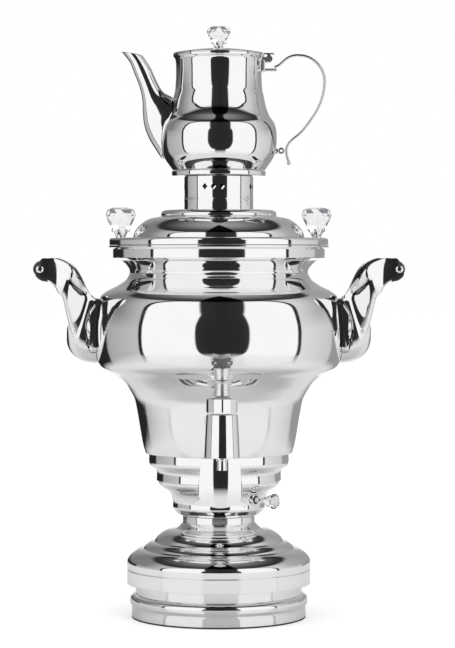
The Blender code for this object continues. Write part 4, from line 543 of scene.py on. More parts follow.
# How much the pieces' edges are rounded
EDGE_DEGREES = 50
GUARD_FINE_COLUMNS = 40
GUARD_EDGE = 0.0004
SOCKET_EDGE = 0.0011
ARM_EDGE = 0.0008
LEAF_EDGE = 0.0003
LID_EDGE = 0.0004
PAD_EDGE = 0.0006
CUP_EDGE = 0.0006
WING_EDGE = 0.0008
SPOOL_EDGE = 0.0008
SPOOL_TAPER = 0.0030
SPOOL_RING_EDGE = 0.0004
SPOOL_RING_FILLET = 0.0003
NOZZLE_COLLAR_EDGE = 0.0004
BUSHING_EDGE = 0.0007
STONE_EDGE_SHARE = 0.008

# Small features that the solids leave out
SEAM_LEVEL = 0.0460
SEAM_HALF = 0.0004
SEAM_DEPTH = 0.0005
CLAWS = 6
CLAW_START = 0.25
COLLAR_SHARE = 0.32
DIAMOND_GROWN = 1.3
STONE_FACETS = 12
# How often a crystal's crown facet gets the dark material, a painted reflection
PAINTED_REFLECTION_FACET_STEP = 2
BEAD_RISE = 0.0092
BEAD_HALF = 0.0009
BEAD_PROUD = 0.0003
RIVET_DEGREES = (-125, -55, 55, 125)
RIVET_RISES = (0.0055, 0.0120)
RIVET_RADIUS = 0.0007
SPOUT_FINE_SIDES = 40
SPOUT_STATIONS = 60
STRAP_BALL_RADIUS = 0.0019
LEVER_REACH = 0.0044
LEVER_RISE = 0.0049
LEVER_RADIUS = 0.0007
LEVER_BALL_RADIUS = 0.0011
EYE_HOLE_RADIUS = 0.0013
BUSHING_BLACK_RADIUS = 0.0036
PAD_END_ROUNDS = (
    (0.0, 0.0085),
    (0.0003, 0.0063),
    (0.0012, 0.0043),
    (0.0026, 0.0025),
    (0.0045, 0.0011),
    (0.0067, 0.0003),
    (0.0090, 0.0),
)
KEY_ROUNDING = 0.0019
DIMPLE_REACH = 0.62
DIMPLE_RISE = 0.50
DIMPLE_RADIUS = 0.0013
CONTROL_CLAWS = 4
WING_CROWN = 0.0012
WING_STATIONS = 60
WING_FINE_ROWS = 8
TIP_BORDER = 0.1596
# Inside this radius the pad is black plastic, as painted shade for the gap at the vessel
PAD_PAINTED_SHADE_RADIUS = 0.1194
BOLT_STATION = 1.75
BOLT_SHARE = 0.88
BOLT_RADIUS = 0.0022
BOLT_HEIGHT = 0.0011
CUP_FINE_COLUMNS = 28
CUP_STATIONS = 24
GRIP_TRIM = 0.0001
SLOT_HALF = 0.0004
SLOT_DEPTH = 0.0012

# Finishes: dark and light colour, roughness from and to, grain, bump's strength and distance
METALS = {
    "polished_steel": (
        (0.90, 0.90, 0.91), (0.96, 0.96, 0.965), 0.022, 0.075, 700.0, 0.12, 0.000004
    ),
    "satin_steel": ((0.88, 0.88, 0.89), (0.95, 0.95, 0.955), 0.28, 0.38, 900.0, 0.15, 0.000008),
    "dull_steel": (
        (0.46, 0.46, 0.47), (0.60, 0.60, 0.61), 0.28, 0.46, 900.0, 0.3, 0.00006, (1, 1, 12)
    ),
    "brass": ((0.62, 0.46, 0.22), (0.76, 0.61, 0.34), 0.18, 0.34, 800.0, 0.25, 0.00004),
    "element_sheath": ((0.22, 0.21, 0.20), (0.38, 0.36, 0.34), 0.38, 0.56, 600.0, 0.35, 0.00008),
}
PLASTICS = {
    "black_plastic": (
        (0.012, 0.012, 0.013), (0.026, 0.026, 0.028), 0.28, 0.46, 1500.0, 0.35, 0.00006
    ),
    "black_gloss": (
        (0.010, 0.010, 0.011), (0.020, 0.020, 0.021), 0.16, 0.28, 1200.0, 0.15, 0.00003
    ),
    "rubber": ((0.014, 0.014, 0.014), (0.030, 0.029, 0.028), 0.60, 0.82, 900.0, 0.5, 0.00012),
}
CRYSTALS = {
    "crystal": ((0.975, 0.972, 0.99), (1.0, 1.0, 1.0)),
    # The dark crystal colour is a painted reflection, put on some crown facets of each cut stone
    "crystal_painted_reflection": ((0.05, 0.05, 0.06), (0.12, 0.12, 0.14)),
}

# Floor, camera, lamps, and the studio that polished surfaces show: its stops are (degrees, grey)
FLOOR_HALF = 12.0
FLOOR_ROUGHNESS = 0.9
FLOOR_GLOSS_ROUGHNESS = 0.09
FLOOR_GREY = 0.96
FLOOR_GLOSS_GREY = 0.76
LAMP_AIM = (0, 0, 0.25)
GRAIN_SHARE = 0.35
CRYSTAL_ROUGHNESS = (0.015, 0.06)
CRYSTAL_TRANSMISSION = 0.86
CRYSTAL_IOR = 1.45
WELD_DISTANCE = 0.000002
GRIP_STEPS = 64
GRIP_SPACING = 0.002
GRIP_SWELL_SHARES = ((0.0, -1.0), (0.25, -0.93), (0.60, -0.80), (0.95, -0.50), (1.0, -0.2))

# The control's stem, from the foot of its claws and from the bushing's front, and its stone
STEM_TOP_RISE = 0.0022
STEM_SHOULDER_RISE = 0.0012
STEM_TAPER_START = 0.0006
STEM_TAPER_END = 0.0018
STEM_RING_HIGH = 0.0016
STEM_RING_TOP = 0.0012
STEM_RING_BOTTOM = 0.0004
STEM_RING_LOW = 0.0002
CLAW_OVERLAP = 0.0004
CONTROL_CLAW_RISE = 0.0008
CONTROL_STONE_RISE = 0.0030
STONE_ROOT_RISE = 0.0010
STONE_SEAT_RISE = 0.0004
SLOT_TURN = 0.35
LEVER_INSET = 0.0022
SINK = 0.0002
CLAW_STATIONS = 7
CLAW_SIDES = 8
# Each lamp: name, place, size and energy
LAMPS = (("key_lamp", (0.9, -1.6, 2.2), 1.6, 14), ("fill_lamp", (-1.5, -0.9, 1.9), 1.6, 9))
CAMERA_SENSOR = 36
CAMERA_CLIP = (0.05, 50)
FLOOR_GLOW = 0.2
FLOOR_GLOSS = 0.08
FLOOR_MIRROR = 0.35
FLOOR_NEAR = 0.52
FLOOR_FAR = 0.95
MIRROR_NEAR = 0.20
MIRROR_FAR = 0.32
CAMERA_LENS = 131.8
CAMERA_AZIMUTH = -1.3
CAMERA_DISTANCE = 2.25
CAMERA_HEIGHT = 0.339
CAMERA_AIM = (0.0083, 0, 0.278)
PANEL_DEGREES = (-8.0, 76.0, 50.0)
PANEL_SQUARENESS = 3.4
PANEL_EDGE = ((0.49, 1.0), (0.50, 0.0))
PANEL_OUTLINE = ((0.49, 1.0), (0.50, 0.03), (0.58, 0.03), (0.60, 1.0))
CARD_DEGREES = (2.0, 25.0, 26.0)
CARD_SQUARENESS = 2.4
CARD_EDGE = ((0.0, 0.022), (0.46, 0.030), (0.52, 1.0))
STAND_WIDTHS = (
    (-90, 0.12),
    (-32, 0.13),
    (0, 0.13),
    (11, 0.19),
    (20, 0.24),
    (40, 0.27),
    (65, 0.24),
    (90, 0.20),
)
STUDIO_SIDES = (
    (-180, 1.0),
    (-168, 1.0),
    (-167, 0.02),
    (-128, 0.02),
    (-124, 0.40),
    (-80, 0.55),
    (0, 0.60),
    (80, 0.76),
    (124, 0.60),
    (128, 0.32),
    (167, 0.32),
    (168, 1.0),
    (180, 1.0),
)
STUDIO_WALLS = (
    (-180, 0.42),
    (-150, 0.20),
    (-110, 0.22),
    (-80, 0.50),
    (80, 0.68),
    (110, 0.42),
    (150, 0.34),
    (180, 0.42),
)
WALL_MASK = ((2, 0.0), (11, 1.0))
STUDIO_CEILING = (
    (38, 0.03),
    (48, 0.035),
    (58, 0.10),
    (74, 0.26),
    (90, 0.36),
)
CEILING_MASK = ((38, 0.0), (43, 1.0))


def stretch(start, end, shares):
    """Points between two (radius, height) places, by their shares of the way in each."""
    return [
        (start[0] + (end[0] - start[0]) * across, start[1] + (end[1] - start[1]) * along)
        for across, along in shares
    ]


def moved_path(path, distance):
    """The path moved to the right of its run, which is inwards on a side that runs down.

    An end keeps its height, unless its own run is level.
    """
    runs = [(Vector(after) - Vector(before)).normalized() for before, after in zip(path, path[1:])]
    last = len(path) - 1
    moved = []
    for i, point in enumerate(path):
        before = runs[max(i - 1, 0)]
        after = runs[min(i, len(runs) - 1)]
        across = Vector((before.y, -before.x))
        middle = (across + Vector((after.y, -after.x))).normalized()
        if i in (0, last) and abs(before.y) > LEVEL_RUN:
            middle = Vector((1, 0))
        moved.append(tuple(Vector(point) + middle * distance / middle.dot(across)))
    return moved


def radius_at(path, height):
    """The radius of a path that runs steadily down, at a height between its ends."""
    for upper, lower in zip(path, path[1:]):
        if lower[1] <= height <= upper[1] and upper[1] > lower[1]:
            share = (height - lower[1]) / (upper[1] - lower[1])
            return lower[0] + (upper[0] - lower[0]) * share
    return path[-1][0]


def vessel_path():
    """The vessel's outer side, from its mouth down to its floor's edge."""
    mouth = (MOUTH_RADIUS, VESSEL_TOP)
    neck = (NECK_RADIUS, VESSEL_TOP - THROAT_HEIGHT)
    bulge = (BULGE_RADIUS, BULGE_LEVEL)
    cone = (CONE_RADIUS, VESSEL_BOTTOM + CONE_HEIGHT)
    path = stretch(mouth, neck, THROAT_SHARES)
    path += stretch(neck, bulge, OVERBULGE_SHARES)
    path += stretch(bulge, cone, UNDERBULGE_SHARES)
    path += stretch(cone, (VESSEL_FOOT_RADIUS, VESSEL_BOTTOM), CONE_SHARES)
    return path


def bowl_path():
    """The bowl's outer side, from the collar down to the base shell."""
    shoulder = (BOWL_SHOULDER_RADIUS, BOWL_TOP - BOWL_COVE_HEIGHT)
    band = BOWL_BOTTOM + BOWL_CURVE_HEIGHT
    path = stretch((BOWL_TOP_RADIUS, BOWL_TOP), shoulder, BOWL_COVE_SHARES)
    path.append((BOWL_RADIUS, band + BOWL_BAND_HEIGHT))
    foot = (WAIST_RADIUS + BOWL_FOOT_PROUD, BOWL_BOTTOM)
    path += stretch((BOWL_RADIUS, band), foot, BOWL_CURVE_SHARES)
    return path


def pot_path():
    """The teapot's outer side, from its rim down to its foot."""
    foot = (POT_FOOT_RADIUS, POT_BOTTOM)
    belly = (POT_BELLY_RADIUS, POT_BOTTOM + POT_BELLY_HEIGHT)
    neck = (POT_NECK_RADIUS, POT_NECK_BOTTOM)
    neck_top = POT_NECK_BOTTOM + POT_NECK_HEIGHT
    rim = POT_NECK_RADIUS + POT_RIM_PROUD
    rising = stretch(foot, belly, POT_BELLY_SHARES) + stretch(belly, neck, POT_SHOULDER_SHARES)
    rising += [(POT_NECK_RADIUS, neck_top), (rim, neck_top + POT_FLARE_HEIGHT), (rim, POT_TOP)]
    return rising[::-1]


def side_name(side, positive, negative):
    return positive if side > 0 else negative


def guard_sag(half_width):
    """How far back the guard's bend puts a point this far from its middle."""
    return GUARD_BEND_RADIUS - math.sqrt(GUARD_BEND_RADIUS**2 - half_width**2)


def guard_back():
    """How far forward the guard's back is in its middle, with its edges against the collar."""
    share = COLLAR_UPPER_HEIGHT / (GUARD_HEIGHT - GUARD_ROUND_HEIGHT)
    half_width = GUARD_TOP_HALF_WIDTH + (GUARD_HALF_WIDTH - GUARD_TOP_HALF_WIDTH) * share
    return math.sqrt((COLLAR_UPPER_RADIUS + GAP) ** 2 - half_width**2) + guard_sag(half_width)


def guard_rings(columns):
    """The guard's upright strips from its left edge to its right."""
    rings = []
    for i in range(-columns, columns + 1):
        turn = math.pi / 2 * i / columns
        top = GUARD_TOP_HALF_WIDTH * math.sin(turn)
        low = GUARD_HALF_WIDTH * math.sin(turn)
        level = COLLAR_TOP - GUARD_HEIGHT + GUARD_ROUND_HEIGHT * (1 - math.cos(turn))
        top_back = guard_sag(top) - guard_back()
        low_back = guard_sag(low) - guard_back()
        rings.append(
            [
                (top, top_back, COLLAR_TOP),
                (low, low_back, level),
                (low, low_back - GUARD_WALL, level),
                (top, top_back - GUARD_WALL, COLLAR_TOP),
            ]
        )
    return rings


def tap_reach():
    """How far the tap's upright axis stands out, so that its key clears the bulge."""
    return BULGE_RADIUS + TAP_STANDOFF


def washer_plane():
    """Where the washer inside the vessel is flat, along Y."""
    return VESSEL_WALL + WASHER_THICKNESS - radius_at(vessel_path(), TAP_LEVEL)


def control_place(distance):
    """The point on the control's axis at a distance from the vessel's axis."""
    azimuth = math.radians(CONTROL_AZIMUTH_DEGREES)
    return (distance * math.sin(azimuth), -distance * math.cos(azimuth), CONTROL_LEVEL)


def pad_outline(grown):
    """The pad's section from its root inside the vessel's wall to its face, which can be grown."""
    low = BULGE_LEVEL - PAD_DROP
    height = PAD_DROP + PAD_RISE
    face = [(BULGE_RADIUS + PAD_PROUD * out, low + height * up) for out, up in PAD_SHARES]
    root = BULGE_RADIUS - PAD_ROOT
    return moved_path([(root, low + height), *face, (root, low)], -grown)


def in_frame(point):
    return Vector(point) + MIDDLE


def add_node(tree, kind, inputs=None, **settings):
    """A shader node with its settings and its input values or links."""
    made = tree.nodes.new(kind)
    for key, value in settings.items():
        setattr(made, key, value)
    for key, value in (inputs or {}).items():
        if isinstance(value, bpy.types.NodeSocket):
            tree.links.new(value, made.inputs[key])
        else:
            made.inputs[key].default_value = value
    return made


def ramp_node(tree, factor, stops):
    """A colour ramp through (place, grey) stops."""
    ramp = add_node(tree, "ShaderNodeValToRGB", {"Fac": factor})
    elements = ramp.color_ramp.elements
    while len(elements) < len(stops):
        elements.new(0.5)
    for element, (place, grey) in zip(elements, stops):
        element.position = place
        element.color = (grey, grey, grey, 1)
    return ramp.outputs["Color"]


def math_node(tree, operation, first, second=0.0):
    return add_node(tree, "ShaderNodeMath", {0: first, 1: second}, operation=operation).outputs[0]


def shader_node(tree, kind, inputs):
    return add_node(tree, f"ShaderNode{kind}Shader", inputs).outputs[0]


def noise_node(tree, coordinate, scale, detail=3.0):
    noise = add_node(
        tree, "ShaderNodeTexNoise", {"Vector": coordinate, "Scale": scale, "Detail": detail}
    )
    return noise.outputs["Fac"]


def spread(tree, value, low, high):
    """The middle of a noise's values spread between two numbers."""
    inputs = {"Value": value, "From Min": 0.3, "From Max": 0.7, "To Min": low, "To Max": high}
    return add_node(tree, "ShaderNodeMapRange", inputs).outputs["Result"]


def new_material(name):
    material = bpy.data.materials.new(name)
    material.use_nodes = True
    tree = material.node_tree
    shader = tree.nodes["Principled BSDF"]
    coordinate = tree.nodes.new("ShaderNodeTexCoord").outputs["Object"]
    return material, tree, shader, coordinate


def tint(tree, shader, value, dark, light):
    """Links the base colour to a mix of two colours."""
    tree.links.new(mix_node(tree, value, dark, light), shader.inputs["Base Color"])


def bumped(tree, shader, height, strength, distance):
    bump = add_node(
        tree, "ShaderNodeBump", {"Height": height, "Strength": strength, "Distance": distance}
    )
    tree.links.new(bump.outputs["Normal"], shader.inputs["Normal"])


def metal(name, dark, light, rough_low, rough_high, grain, bump, distance, stretch_by=(1, 1, 1)):
    """A metal with faint patches in its colour and roughness and a fine grain."""
    material, tree, shader, coordinate = new_material(name)
    shader.inputs["Metallic"].default_value = 1.0
    patches = noise_node(tree, coordinate, 38.0, 4.0)
    tint(tree, shader, patches, dark, light)
    mapping = add_node(tree, "ShaderNodeMapping", {"Vector": coordinate, "Scale": stretch_by})
    fine = noise_node(tree, mapping.outputs["Vector"], grain, 5.0)
    grain_share = math_node(tree, "MULTIPLY", fine, GRAIN_SHARE)
    patch_share = math_node(tree, "MULTIPLY", patches, 1 - GRAIN_SHARE)
    smudges = math_node(tree, "ADD", grain_share, patch_share)
    tree.links.new(spread(tree, smudges, rough_low, rough_high), shader.inputs["Roughness"])
    bumped(tree, shader, fine, bump, distance)
    return material


def plastic(name, dark, light, rough_low, rough_high, grain, bump, distance):
    """A moulded surface with a fine grain."""
    material, tree, shader, coordinate = new_material(name)
    patches = noise_node(tree, coordinate, 55.0)
    tint(tree, shader, patches, dark, light)
    fine = noise_node(tree, coordinate, grain, 2.0)
    tree.links.new(spread(tree, fine, rough_low, rough_high), shader.inputs["Roughness"])
    bumped(tree, shader, fine, bump, distance)
    return material


def crystal_material(name, dark, light):
    """Clear cut plastic with faint streaks in its depth; made dark, it is the painted reflection on some
    crown facets.
    """
    material, tree, shader, coordinate = new_material(name)
    depth = noise_node(tree, coordinate, 90.0)
    tint(tree, shader, depth, dark, light)
    tree.links.new(spread(tree, depth, *CRYSTAL_ROUGHNESS), shader.inputs["Roughness"])
    shader.inputs["Transmission Weight"].default_value = CRYSTAL_TRANSMISSION
    shader.inputs["IOR"].default_value = CRYSTAL_IOR
    return material


def floor_material():
    """A pale, faintly glossy floor. Further out, glossy rays pass through it to the panels."""
    material, tree, shader, coordinate = new_material("floor")
    shader.inputs["Roughness"].default_value = FLOOR_ROUGHNESS
    shader.inputs["Specular IOR Level"].default_value = 0.0
    path = tree.nodes.new("ShaderNodeLightPath")
    seen_in_gloss = path.outputs["Is Glossy Ray"]
    tint(tree, shader, seen_in_gloss, (FLOOR_GREY,) * 3, (FLOOR_GLOSS_GREY,) * 3)
    length = add_node(tree, "ShaderNodeVectorMath", {0: coordinate}, operation="LENGTH")
    away = length.outputs["Value"]
    far = ramp_node(tree, away, [(FLOOR_NEAR, 0.0), (FLOOR_FAR, 1.0)])
    close = ramp_node(tree, away, [(MIRROR_NEAR, FLOOR_MIRROR - FLOOR_GLOSS), (MIRROR_FAR, 0.0)])
    gloss_share = math_node(tree, "MULTIPLY", seen_in_gloss, close)
    gloss_share = math_node(tree, "ADD", gloss_share, FLOOR_GLOSS)
    white = (1, 1, 1, 1)
    gloss = {"Color": white, "Roughness": FLOOR_GLOSS_ROUGHNESS}
    gloss = add_node(tree, "ShaderNodeBsdfGlossy", gloss).outputs[0]
    mixed = shader_node(tree, "Mix", {0: gloss_share, 1: shader.outputs[0], 2: gloss})
    glow = add_node(tree, "ShaderNodeEmission", {"Color": white, "Strength": FLOOR_GLOW}).outputs[0]
    glow = shader_node(tree, "Mix", {0: path.outputs["Is Camera Ray"], 2: glow})
    lit = shader_node(tree, "Add", {0: mixed, 1: glow})
    clear = tree.nodes.new("ShaderNodeBsdfTransparent").outputs[0]
    clear_share = math_node(tree, "MULTIPLY", seen_in_gloss, far)
    final = shader_node(tree, "Mix", {0: clear_share, 1: lit, 2: clear})
    tree.links.new(final, tree.nodes["Material Output"].inputs["Surface"])
    return material


def offset_share(tree, angle, middle, reach, power):
    """How far an angle is from a middle one, as a share of a reach, to a power."""
    off = math_node(tree, "SUBTRACT", angle, math.radians(middle))
    off = math_node(tree, "ABSOLUTE", math_node(tree, "DIVIDE", off, math.radians(reach)))
    return math_node(tree, "POWER", off, power)


def angle_ramp(tree, angle, half_range, stops):
    """A ramp whose places are degrees between minus and plus the half range."""
    place = math_node(tree, "DIVIDE", angle, math.radians(2 * half_range))
    place = math_node(tree, "ADD", place, 0.5)
    return ramp_node(tree, place, [(turn / (2 * half_range) + 0.5, grey) for turn, grey in stops])


def mix_node(tree, factor, first, second, blend="MIX"):
    """A mix of two colours, each of which is a link, a grey or a tuple."""
    mix = add_node(tree, "ShaderNodeMix", data_type="RGBA", blend_type=blend)
    for key, value in (("Factor", factor), ("A", first), ("B", second)):
        if isinstance(value, bpy.types.NodeSocket):
            tree.links.new(value, mix.inputs[key])
        elif key == "Factor":
            mix.inputs[key].default_value = value
        elif isinstance(value, tuple):
            mix.inputs[key].default_value = (*value, 1)
        else:
            mix.inputs[key].default_value = (value, value, value, 1)
    return mix.outputs["Result"]


def make_world():
    """White behind the object, even light on dull surfaces and a studio for polished ones."""
    world = bpy.data.worlds.new("studio")
    bpy.context.scene.world = world
    world.use_nodes = True
    tree = world.node_tree
    background = tree.nodes["Background"]
    path = tree.nodes.new("ShaderNodeLightPath")
    direction = tree.nodes.new("ShaderNodeTexCoord").outputs["Generated"]
    parts = add_node(tree, "ShaderNodeSeparateXYZ", {"Vector": direction})
    toward = math_node(tree, "MULTIPLY", parts.outputs["Y"], -1.0)
    around = math_node(tree, "ARCTAN2", parts.outputs["X"], toward)
    rise = math_node(tree, "ARCSINE", parts.outputs["Z"])
    sides = angle_ramp(tree, around, 180, STUDIO_SIDES)
    walls = angle_ramp(tree, around, 180, STUDIO_WALLS)
    sides = mix_node(tree, angle_ramp(tree, rise, 90, WALL_MASK), sides, walls)
    across = offset_share(tree, around, 0, PANEL_DEGREES[1], PANEL_SQUARENESS)
    up = offset_share(tree, rise, PANEL_DEGREES[0], PANEL_DEGREES[2], PANEL_SQUARENESS)
    panel_reach = math_node(tree, "MULTIPLY", math_node(tree, "ADD", across, up), 0.5)
    room = mix_node(tree, ramp_node(tree, panel_reach, PANEL_EDGE), sides, 1.0)
    outline = ramp_node(tree, panel_reach, PANEL_OUTLINE)
    room = mix_node(tree, 1.0, room, outline, "MULTIPLY")
    ceiling = angle_ramp(tree, rise, 90, STUDIO_CEILING)
    room = mix_node(tree, angle_ramp(tree, rise, 90, CEILING_MASK), room, ceiling)
    across = offset_share(tree, around, CARD_DEGREES[0], CARD_DEGREES[1], CARD_SQUARENESS)
    up = offset_share(tree, rise, 0, CARD_DEGREES[2], CARD_SQUARENESS)
    card_reach = math_node(tree, "MULTIPLY", math_node(tree, "ADD", across, up), 0.5)
    half_width = angle_ramp(tree, rise, 90, STAND_WIDTHS)
    off = offset_share(tree, around, CARD_DEGREES[0], 90, 1.0)
    stand_reach = math_node(tree, "DIVIDE", math_node(tree, "MULTIPLY", off, 0.5), half_width)
    dark = [ramp_node(tree, reach, CARD_EDGE) for reach in (card_reach, stand_reach)]
    room = mix_node(tree, 1.0, room, math_node(tree, "MINIMUM", *dark), "MULTIPLY")
    plain = mix_node(tree, path.outputs["Is Diffuse Ray"], room, 0.9)
    seen_direct = [path.outputs[f"Is {kind} Ray"] for kind in ("Camera", "Transmission")]
    behind = math_node(tree, "MAXIMUM", *seen_direct)
    tree.links.new(mix_node(tree, behind, plain, 1.0), background.inputs["Color"])
    background.inputs["Strength"].default_value = 1.0


def aimed(name, data, place, aim):
    """A camera or lamp at a place, turned to look at another."""
    obj = new_object(name, data, in_frame(place))
    obj.rotation_euler = (in_frame(aim) - obj.location).to_track_quat("-Z", "Y").to_euler()
    return obj


def make_camera():
    turn = math.radians(CAMERA_AZIMUTH)
    camera = bpy.data.cameras.new("camera")
    camera.lens = CAMERA_LENS
    camera.sensor_width = CAMERA_SENSOR
    camera.clip_start, camera.clip_end = CAMERA_CLIP
    place = (CAMERA_DISTANCE * math.sin(turn), -CAMERA_DISTANCE * math.cos(turn), CAMERA_HEIGHT)
    bpy.context.scene.camera = aimed("camera", camera, place, CAMERA_AIM)


def make_lamp(name, place, size, energy):
    lamp = bpy.data.lights.new(name, "AREA")
    lamp.shape = "DISK"
    lamp.size = size
    lamp.energy = energy
    obj = aimed(name, lamp, place, LAMP_AIM)
    obj.visible_glossy = False
    obj.visible_camera = False


def make_stage():
    half = FLOOR_HALF
    corners = [(-half, -half, 0), (half, -half, 0), (half, half, 0), (-half, half, 0)]
    mesh = bpy.data.meshes.new("floor")
    mesh.from_pydata([in_frame(corner) for corner in corners], [], [(0, 1, 2, 3)])
    mesh.materials.append(floor_material())
    floor = new_object("floor", mesh)


# Smooth outlines


def between(before, start, end, after, share):
    """A number on the smooth curve through four, a share of the way between the middle two."""
    return 0.5 * (
        2 * start
        + (end - before) * share
        + (2 * before - 5 * start + 4 * end - after) * share**2
        + (3 * start - before - 3 * end + after) * share**3
    )


def table_row(rows, station):
    """The row of a table at a station along it, on smooth curves through its rows."""
    last = len(rows) - 1
    index = min(int(station), last - 1)
    near = [rows[max(index - 1, 0)], rows[index], rows[index + 1], rows[min(index + 2, last)]]
    return [between(*column, station - index) for column in zip(*near)]


def curve_through(points, spacing):
    """Points along a smooth curve through the given ones, a straight line where there are two."""
    points = [Vector(point) for point in points]
    rows = [2 * points[0] - points[1], *points, 2 * points[-1] - points[-2]]
    made = [points[0]]
    for before, start, end, after in zip(rows, rows[1:], rows[2:], rows[3:]):
        first, span, last = [
            max((b - a).length, 1e-7) ** 0.5
            for a, b in ((before, start), (start, end), (end, after))
        ]
        slope = (end - start) / span
        leave = span * ((start - before) / first - (end - before) / (first + span) + slope)
        arrive = span * (slope - (after - start) / (span + last) + (after - end) / last)
        count = max(1, round((end - start).length / spacing))
        for step in range(1, count + 1):
            s = step / count
            made.append(
                start * (2 * s**3 - 3 * s**2 + 1)
                + leave * (s**3 - 2 * s**2 + s)
                + end * (3 * s**2 - 2 * s**3)
                + arrive * (s**3 - s**2)
            )
    for _ in range(SMOOTH_ROUNDS if len(points) > 2 else 0):
        middle = [(a + 2 * b + c) / 4 for a, b, c in zip(made, made[1:], made[2:])]
        made = [made[0], *middle, made[-1]]
    return made


def run_length(points):
    return sum((b - a).length for a, b in zip(points, points[1:]))


def trimmed(points, length):
    """The points without a length at their end."""
    points = list(points)
    while len(points) > 2 and (points[-1] - points[-2]).length <= length:
        length -= (points[-1] - points[-2]).length
        points.pop()
    step = points[-1] - points[-2]
    points[-1] = points[-2] + step * max(0.05, 1 - length / max(step.length, 1e-9))
    return points


def thinned(points, longest):
    """The points that a curve needs: more where it bends, and two at each end."""
    if len(points) < 6:
        return points
    made = points[:2]
    for point, after in zip(points[2:-2], points[3:-1]):
        step = point - made[-1]
        bend = (after - point).angle(made[-1] - made[-2], 0)
        if bend > math.radians(THIN_DEGREES) or step.length > longest:
            made.append(point)
    return made + points[-2:]


def refined(path, longest=SPACING, fillet=FILLET, corner=CORNER_DEGREES):
    """The path on smooth curves through its points, with its sharp corners rounded off a little."""
    points = [Vector(point) for point in path]
    corners = [0]
    for i in range(1, len(points) - 1):
        if (points[i] - points[i - 1]).angle(points[i + 1] - points[i]) > math.radians(corner):
            corners.append(i)
    corners.append(len(points) - 1)
    runs = [curve_through(points[a : b + 1], DRAW_STEP) for a, b in zip(corners, corners[1:])]
    made = []
    for i, run in enumerate(runs):
        if i + 1 < len(runs):
            tip = run[-1]
            room = min(fillet, 0.35 * run_length(run), 0.35 * run_length(runs[i + 1]))
            run = trimmed(run, room)
            following = trimmed(runs[i + 1][::-1], room)[::-1]
            start, end = run[-1], following[0]
            arc = [
                start * (1 - s) ** 2 + tip * (2 * s * (1 - s)) + end * s**2
                for s in (0.2, 0.4, 0.6, 0.8)
            ]
            runs[i + 1] = following
            made += thinned(run, longest) + arc
        else:
            made += thinned(run, longest)
    return [tuple(point) for point in made]


def on_axis(outline):
    """The outline with its two ends brought onto the axis."""
    return [(0, outline[0][1]), *outline[1:-1], (0, outline[-1][1])]


def floored_sheet(path, wall):
    """The section of a sheet that runs down to a floor, closed on the axis."""
    side = [point for point in fine_sheet(path, wall) if point[0] > AXIS_CLEAR]
    return [(0, side[0][1]), *side, (0, side[-1][1])]


def fine_sheet(path, wall):
    """The closed section of a sheet with a smooth outer side."""
    inner = refined(moved_path(path, wall), INNER_SPACING)
    return inner[::-1] + refined(path)


def fine_solid(path, **options):
    """The section of a solid of revolution with a smooth side, from the axis to the axis."""
    return on_axis(refined([(0, path[0][1]), *path, (0, path[-1][1])], **options))


# Meshes


def smoothed(mesh, sharp=SHARP_DEGREES):
    mesh.shade_smooth()
    mesh.set_sharp_from_angle(angle=math.radians(sharp))
    return mesh


def finished_mesh(name, bm, sharp=SHARP_DEGREES):
    bmesh.ops.remove_doubles(bm, verts=bm.verts, dist=WELD_DISTANCE)
    bmesh.ops.recalc_face_normals(bm, faces=bm.faces)
    mesh = bpy.data.meshes.new(name)
    bm.to_mesh(mesh)
    bm.free()
    return smoothed(mesh, sharp)


def lathe_mesh(name, outline, steps=STEPS, radius_at_turn=None):
    """The outline spun about the vertical axis. A function of the turn may scale its radii."""
    bm = bmesh.new()
    columns = []
    closed = outline[0][0] > 0
    for step in range(steps):
        turn = math.tau * step / steps
        scale = radius_at_turn(turn) if radius_at_turn else 1.0
        across, along = math.cos(turn) * scale, math.sin(turn) * scale
        columns.append([bm.verts.new((r * across, r * along, z)) for r, z in outline])
    count = len(outline)
    for one, other in zip(columns, columns[1:] + columns[:1]):
        for i in range(count if closed else count - 1):
            j = (i + 1) % count
            if outline[i][0] <= 0 and outline[j][0] <= 0:
                continue
            corners = [one[i], other[i], other[j], one[j]]
            if outline[i][0] <= 0:
                corners = [one[i], other[j], one[j]]
            if outline[j][0] <= 0:
                corners = [one[i], other[i], one[j]]
            bm.faces.new(corners)
    return finished_mesh(name, bm)


def loft(name, rings, closed=True, caps=True):
    """A skin through rings of as many points each."""
    bm = bmesh.new()
    rows = [[bm.verts.new(point) for point in ring] for ring in rings]
    for lower, upper in zip(rows, rows[1:]):
        for i in range(len(lower) if closed else len(lower) - 1):
            after = (i + 1) % len(lower)
            bm.faces.new((lower[i], lower[after], upper[after], upper[i]))
    if caps:
        bm.faces.new(rows[0])
        bm.faces.new(rows[-1])
    return finished_mesh(name, bm)


def rod(name, start, end, radius, steps=FINE_STEPS):
    start, end = Vector(start), Vector(end)
    along = end - start
    turned = along.to_track_quat("Z", "Y").to_matrix().to_4x4()
    bm = bmesh.new()
    bmesh.ops.create_cone(
        bm,
        cap_ends=True,
        segments=steps,
        radius1=radius,
        radius2=radius,
        depth=along.length,
        matrix=Matrix.Translation((start + end) / 2) @ turned,
    )
    return finished_mesh(name, bm)


def block(name, low, high, bevel=0.0):
    low, high = Vector(low), Vector(high)
    bm = bmesh.new()
    bmesh.ops.create_cube(bm, size=1)
    bmesh.ops.scale(bm, vec=high - low, verts=bm.verts)
    bmesh.ops.translate(bm, vec=(low + high) / 2, verts=bm.verts)
    if bevel:
        bmesh.ops.bevel(
            bm, geom=bm.edges[:], offset=bevel, segments=3, affect="EDGES", profile=0.5
        )
    return finished_mesh(name, bm)


def ball(name, centre, radius, steps=20):
    bm = bmesh.new()
    place = Matrix.Translation(centre)
    bmesh.ops.create_uvsphere(
        bm, u_segments=steps, v_segments=steps // 2, radius=radius, matrix=place
    )
    return finished_mesh(name, bm)


